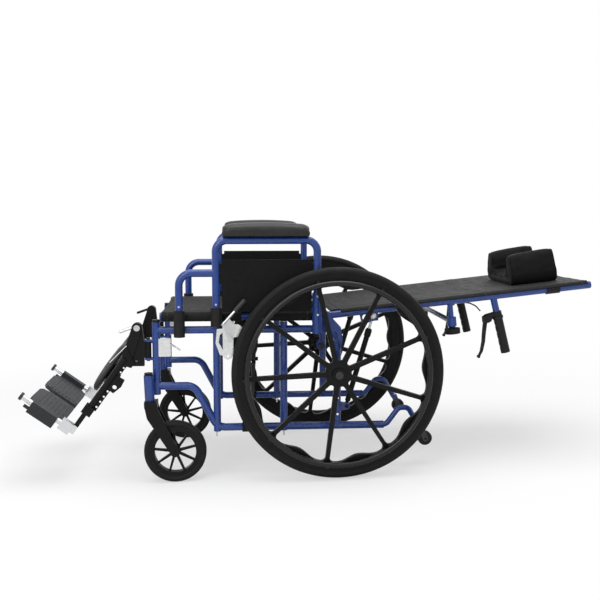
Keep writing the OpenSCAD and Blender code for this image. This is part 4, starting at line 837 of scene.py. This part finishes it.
def add_arm_pads():
    skin = vinyl("arm_vinyl", (0.0085, 0.0085, 0.0078), 0.36)
    us = [0.002, 0.008, 0.02, 0.036, 0.06, 0.085, 0.11] + [0.14 + 0.72 * i / 14 for i in range(15)]
    us += [1 - u for u in (0.11, 0.085, 0.06, 0.036, 0.02, 0.008, 0.002)]
    for side, k in SIDES:
        rings = [arm_ring(k * ARM_X, u) for u in reversed(us)]
        pad = mesh_object(side + "_arm_cushion", *loft(rings), skin)
        refine(pad, 2)
        finish_piece(pad, side + "_armrest", side + "_arm_pad")


add_arm_pads()


# Calf pads: stuffed vinyl cushions with a piped edge

def copy_of(node, name, surface):
    """A new piece with a CAD node's mesh, welded shut."""
    mesh = NODES[node].data.copy()
    mesh.materials.clear()
    obj = bpy.data.objects.new(name, mesh)
    SCENE.collection.objects.link(obj)
    mesh.materials.append(surface.material)
    weld = obj.modifiers.new("weld", "WELD")
    weld.merge_threshold = 0.00001
    return bake(obj)


def add_calf_pads():
    skin = vinyl("calf_vinyl", (0.013, 0.013, 0.0125), 0.44, 0.3)
    for side, k in SIDES:
        pad = copy_of(side + "_calf_pad", side + "_calf_cushion", skin)
        back = on_leg(0, 0, CALF_BACK - CALF_HELD)
        puff(pad, 0.004, 0.004, 4.0, lambda p: (p - back).dot(LEG_Q) > 0)
        refine(pad)
        tree = surface_tree(pad)
        seam = []
        x0, (t0, t1) = k * (LEG_X - CALF_IN), CALF_T
        for i in range(96):
            a = 2 * math.pi * i / 96
            c, s = math.cos(a), math.sin(a)
            x = math.copysign(abs(c) ** 0.5, c) * CALF_HALF_W
            t = (t0 + t1) / 2 + math.copysign(abs(s) ** 0.5, s) * (t1 - t0) / 2
            seam.append(on_leg(x0 + x, t, CALF_SEAM))
        ring = rounded(snapped(seam, tree, 0.0001), 2)
        joined(pad, cord(ring, 0.0014, closed=True))
        finish_piece(pad, side + "_leg", side + "_calf_pad")


add_calf_pads()


# Floor, world and lamps

def add_stage():
    size = 9.0
    corners = [(-size, -size, 0), (size, -size, 0), (size, size, 0), (-size, size, 0)]
    floor = bpy.data.meshes.new("floor")
    floor.from_pydata(corners, [], [(0, 1, 2, 3)])
    obj = bpy.data.objects.new("floor", floor)
    SCENE.collection.objects.link(obj)
    material = bpy.data.materials.new("floor")
    material.use_nodes = True
    tree = material.node_tree
    shader = tree.nodes["Principled BSDF"]
    shader.inputs["Base Color"].default_value = rgb(0.9, 0.9, 0.9)
    shader.inputs["Roughness"].default_value = 0.9
    shader.inputs["Specular IOR Level"].default_value = 0.1
    glow = tree.nodes.new("ShaderNodeEmission")
    glow.inputs["Color"].default_value = rgb(1, 1, 1)
    blend = tree.nodes.new("ShaderNodeMixShader")
    ray = tree.nodes.new("ShaderNodeLightPath")
    # Near the chair the floor keeps its shadow, and further out it runs into the white background
    place = tree.nodes.new("ShaderNodeTexCoord")
    away = tree.nodes.new("ShaderNodeVectorMath")
    away.operation = "LENGTH"
    fade = tree.nodes.new("ShaderNodeMapRange")
    fade.interpolation_type = "SMOOTHSTEP"
    fade.inputs["From Min"].default_value = 0.9
    fade.inputs["From Max"].default_value = 2.4
    fade.inputs["To Min"].default_value = 0.5
    share = tree.nodes.new("ShaderNodeMath")
    share.operation = "MULTIPLY"
    tree.links.new(place.outputs["Object"], away.inputs[0])
    tree.links.new(away.outputs["Value"], fade.inputs["Value"])
    tree.links.new(fade.outputs[0], share.inputs[1])
    tree.links.new(ray.outputs["Is Camera Ray"], share.inputs[0])
    tree.links.new(share.outputs[0], blend.inputs[0])
    tree.links.new(shader.outputs[0], blend.inputs[1])
    tree.links.new(glow.outputs[0], blend.inputs[2])
    tree.links.new(blend.outputs[0], tree.nodes["Material Output"].inputs[0])
    floor.materials.append(material)


def add_world():
    world = bpy.data.worlds.new("studio")
    SCENE.world = world
    world.use_nodes = True
    tree = world.node_tree
    back = tree.nodes["Background"]
    back.inputs["Color"].default_value = rgb(1, 1, 1)
    ray = tree.nodes.new("ShaderNodeLightPath")
    seen = tree.nodes.new("ShaderNodeMath")
    seen.operation = "MAXIMUM"
    clear = tree.nodes.new("ShaderNodeMath")
    clear.operation = "MAXIMUM"
    level = tree.nodes.new("ShaderNodeMapRange")
    level.inputs["To Min"].default_value = 0.5
    level.inputs["To Max"].default_value = 1.0
    tree.links.new(ray.outputs["Is Camera Ray"], seen.inputs[0])
    tree.links.new(ray.outputs["Is Glossy Ray"], seen.inputs[1])
    tree.links.new(seen.outputs[0], clear.inputs[0])
    tree.links.new(ray.outputs["Is Transmission Ray"], clear.inputs[1])
    tree.links.new(clear.outputs[0], level.inputs["Value"])
    tree.links.new(level.outputs[0], back.inputs["Strength"])


def add_lamp(name, place, target, size, power):
    data = bpy.data.lights.new(name, "AREA")
    data.shape = "RECTANGLE"
    data.size, data.size_y = size
    data.energy = power
    lamp = bpy.data.objects.new(name, data)
    SCENE.collection.objects.link(lamp)
    direction = Vector(target) - Vector(place)
    lamp.matrix_world = Matrix.Translation(place) @ direction.to_track_quat("-Z", "Y").to_matrix().to_4x4()


add_stage()
add_world()
add_lamp("top", (0.4, 0.0, 3.0), (0, 0, 0.4), (3.0, 2.2), 60)
add_lamp("key", (2.6, -1.6, 2.0), (0, -0.1, 0.4), (1.6, 1.6), 28)
add_lamp("rear", (-2.2, 1.6, 1.8), (0, 0, 0.4), (1.6, 1.2), 14)
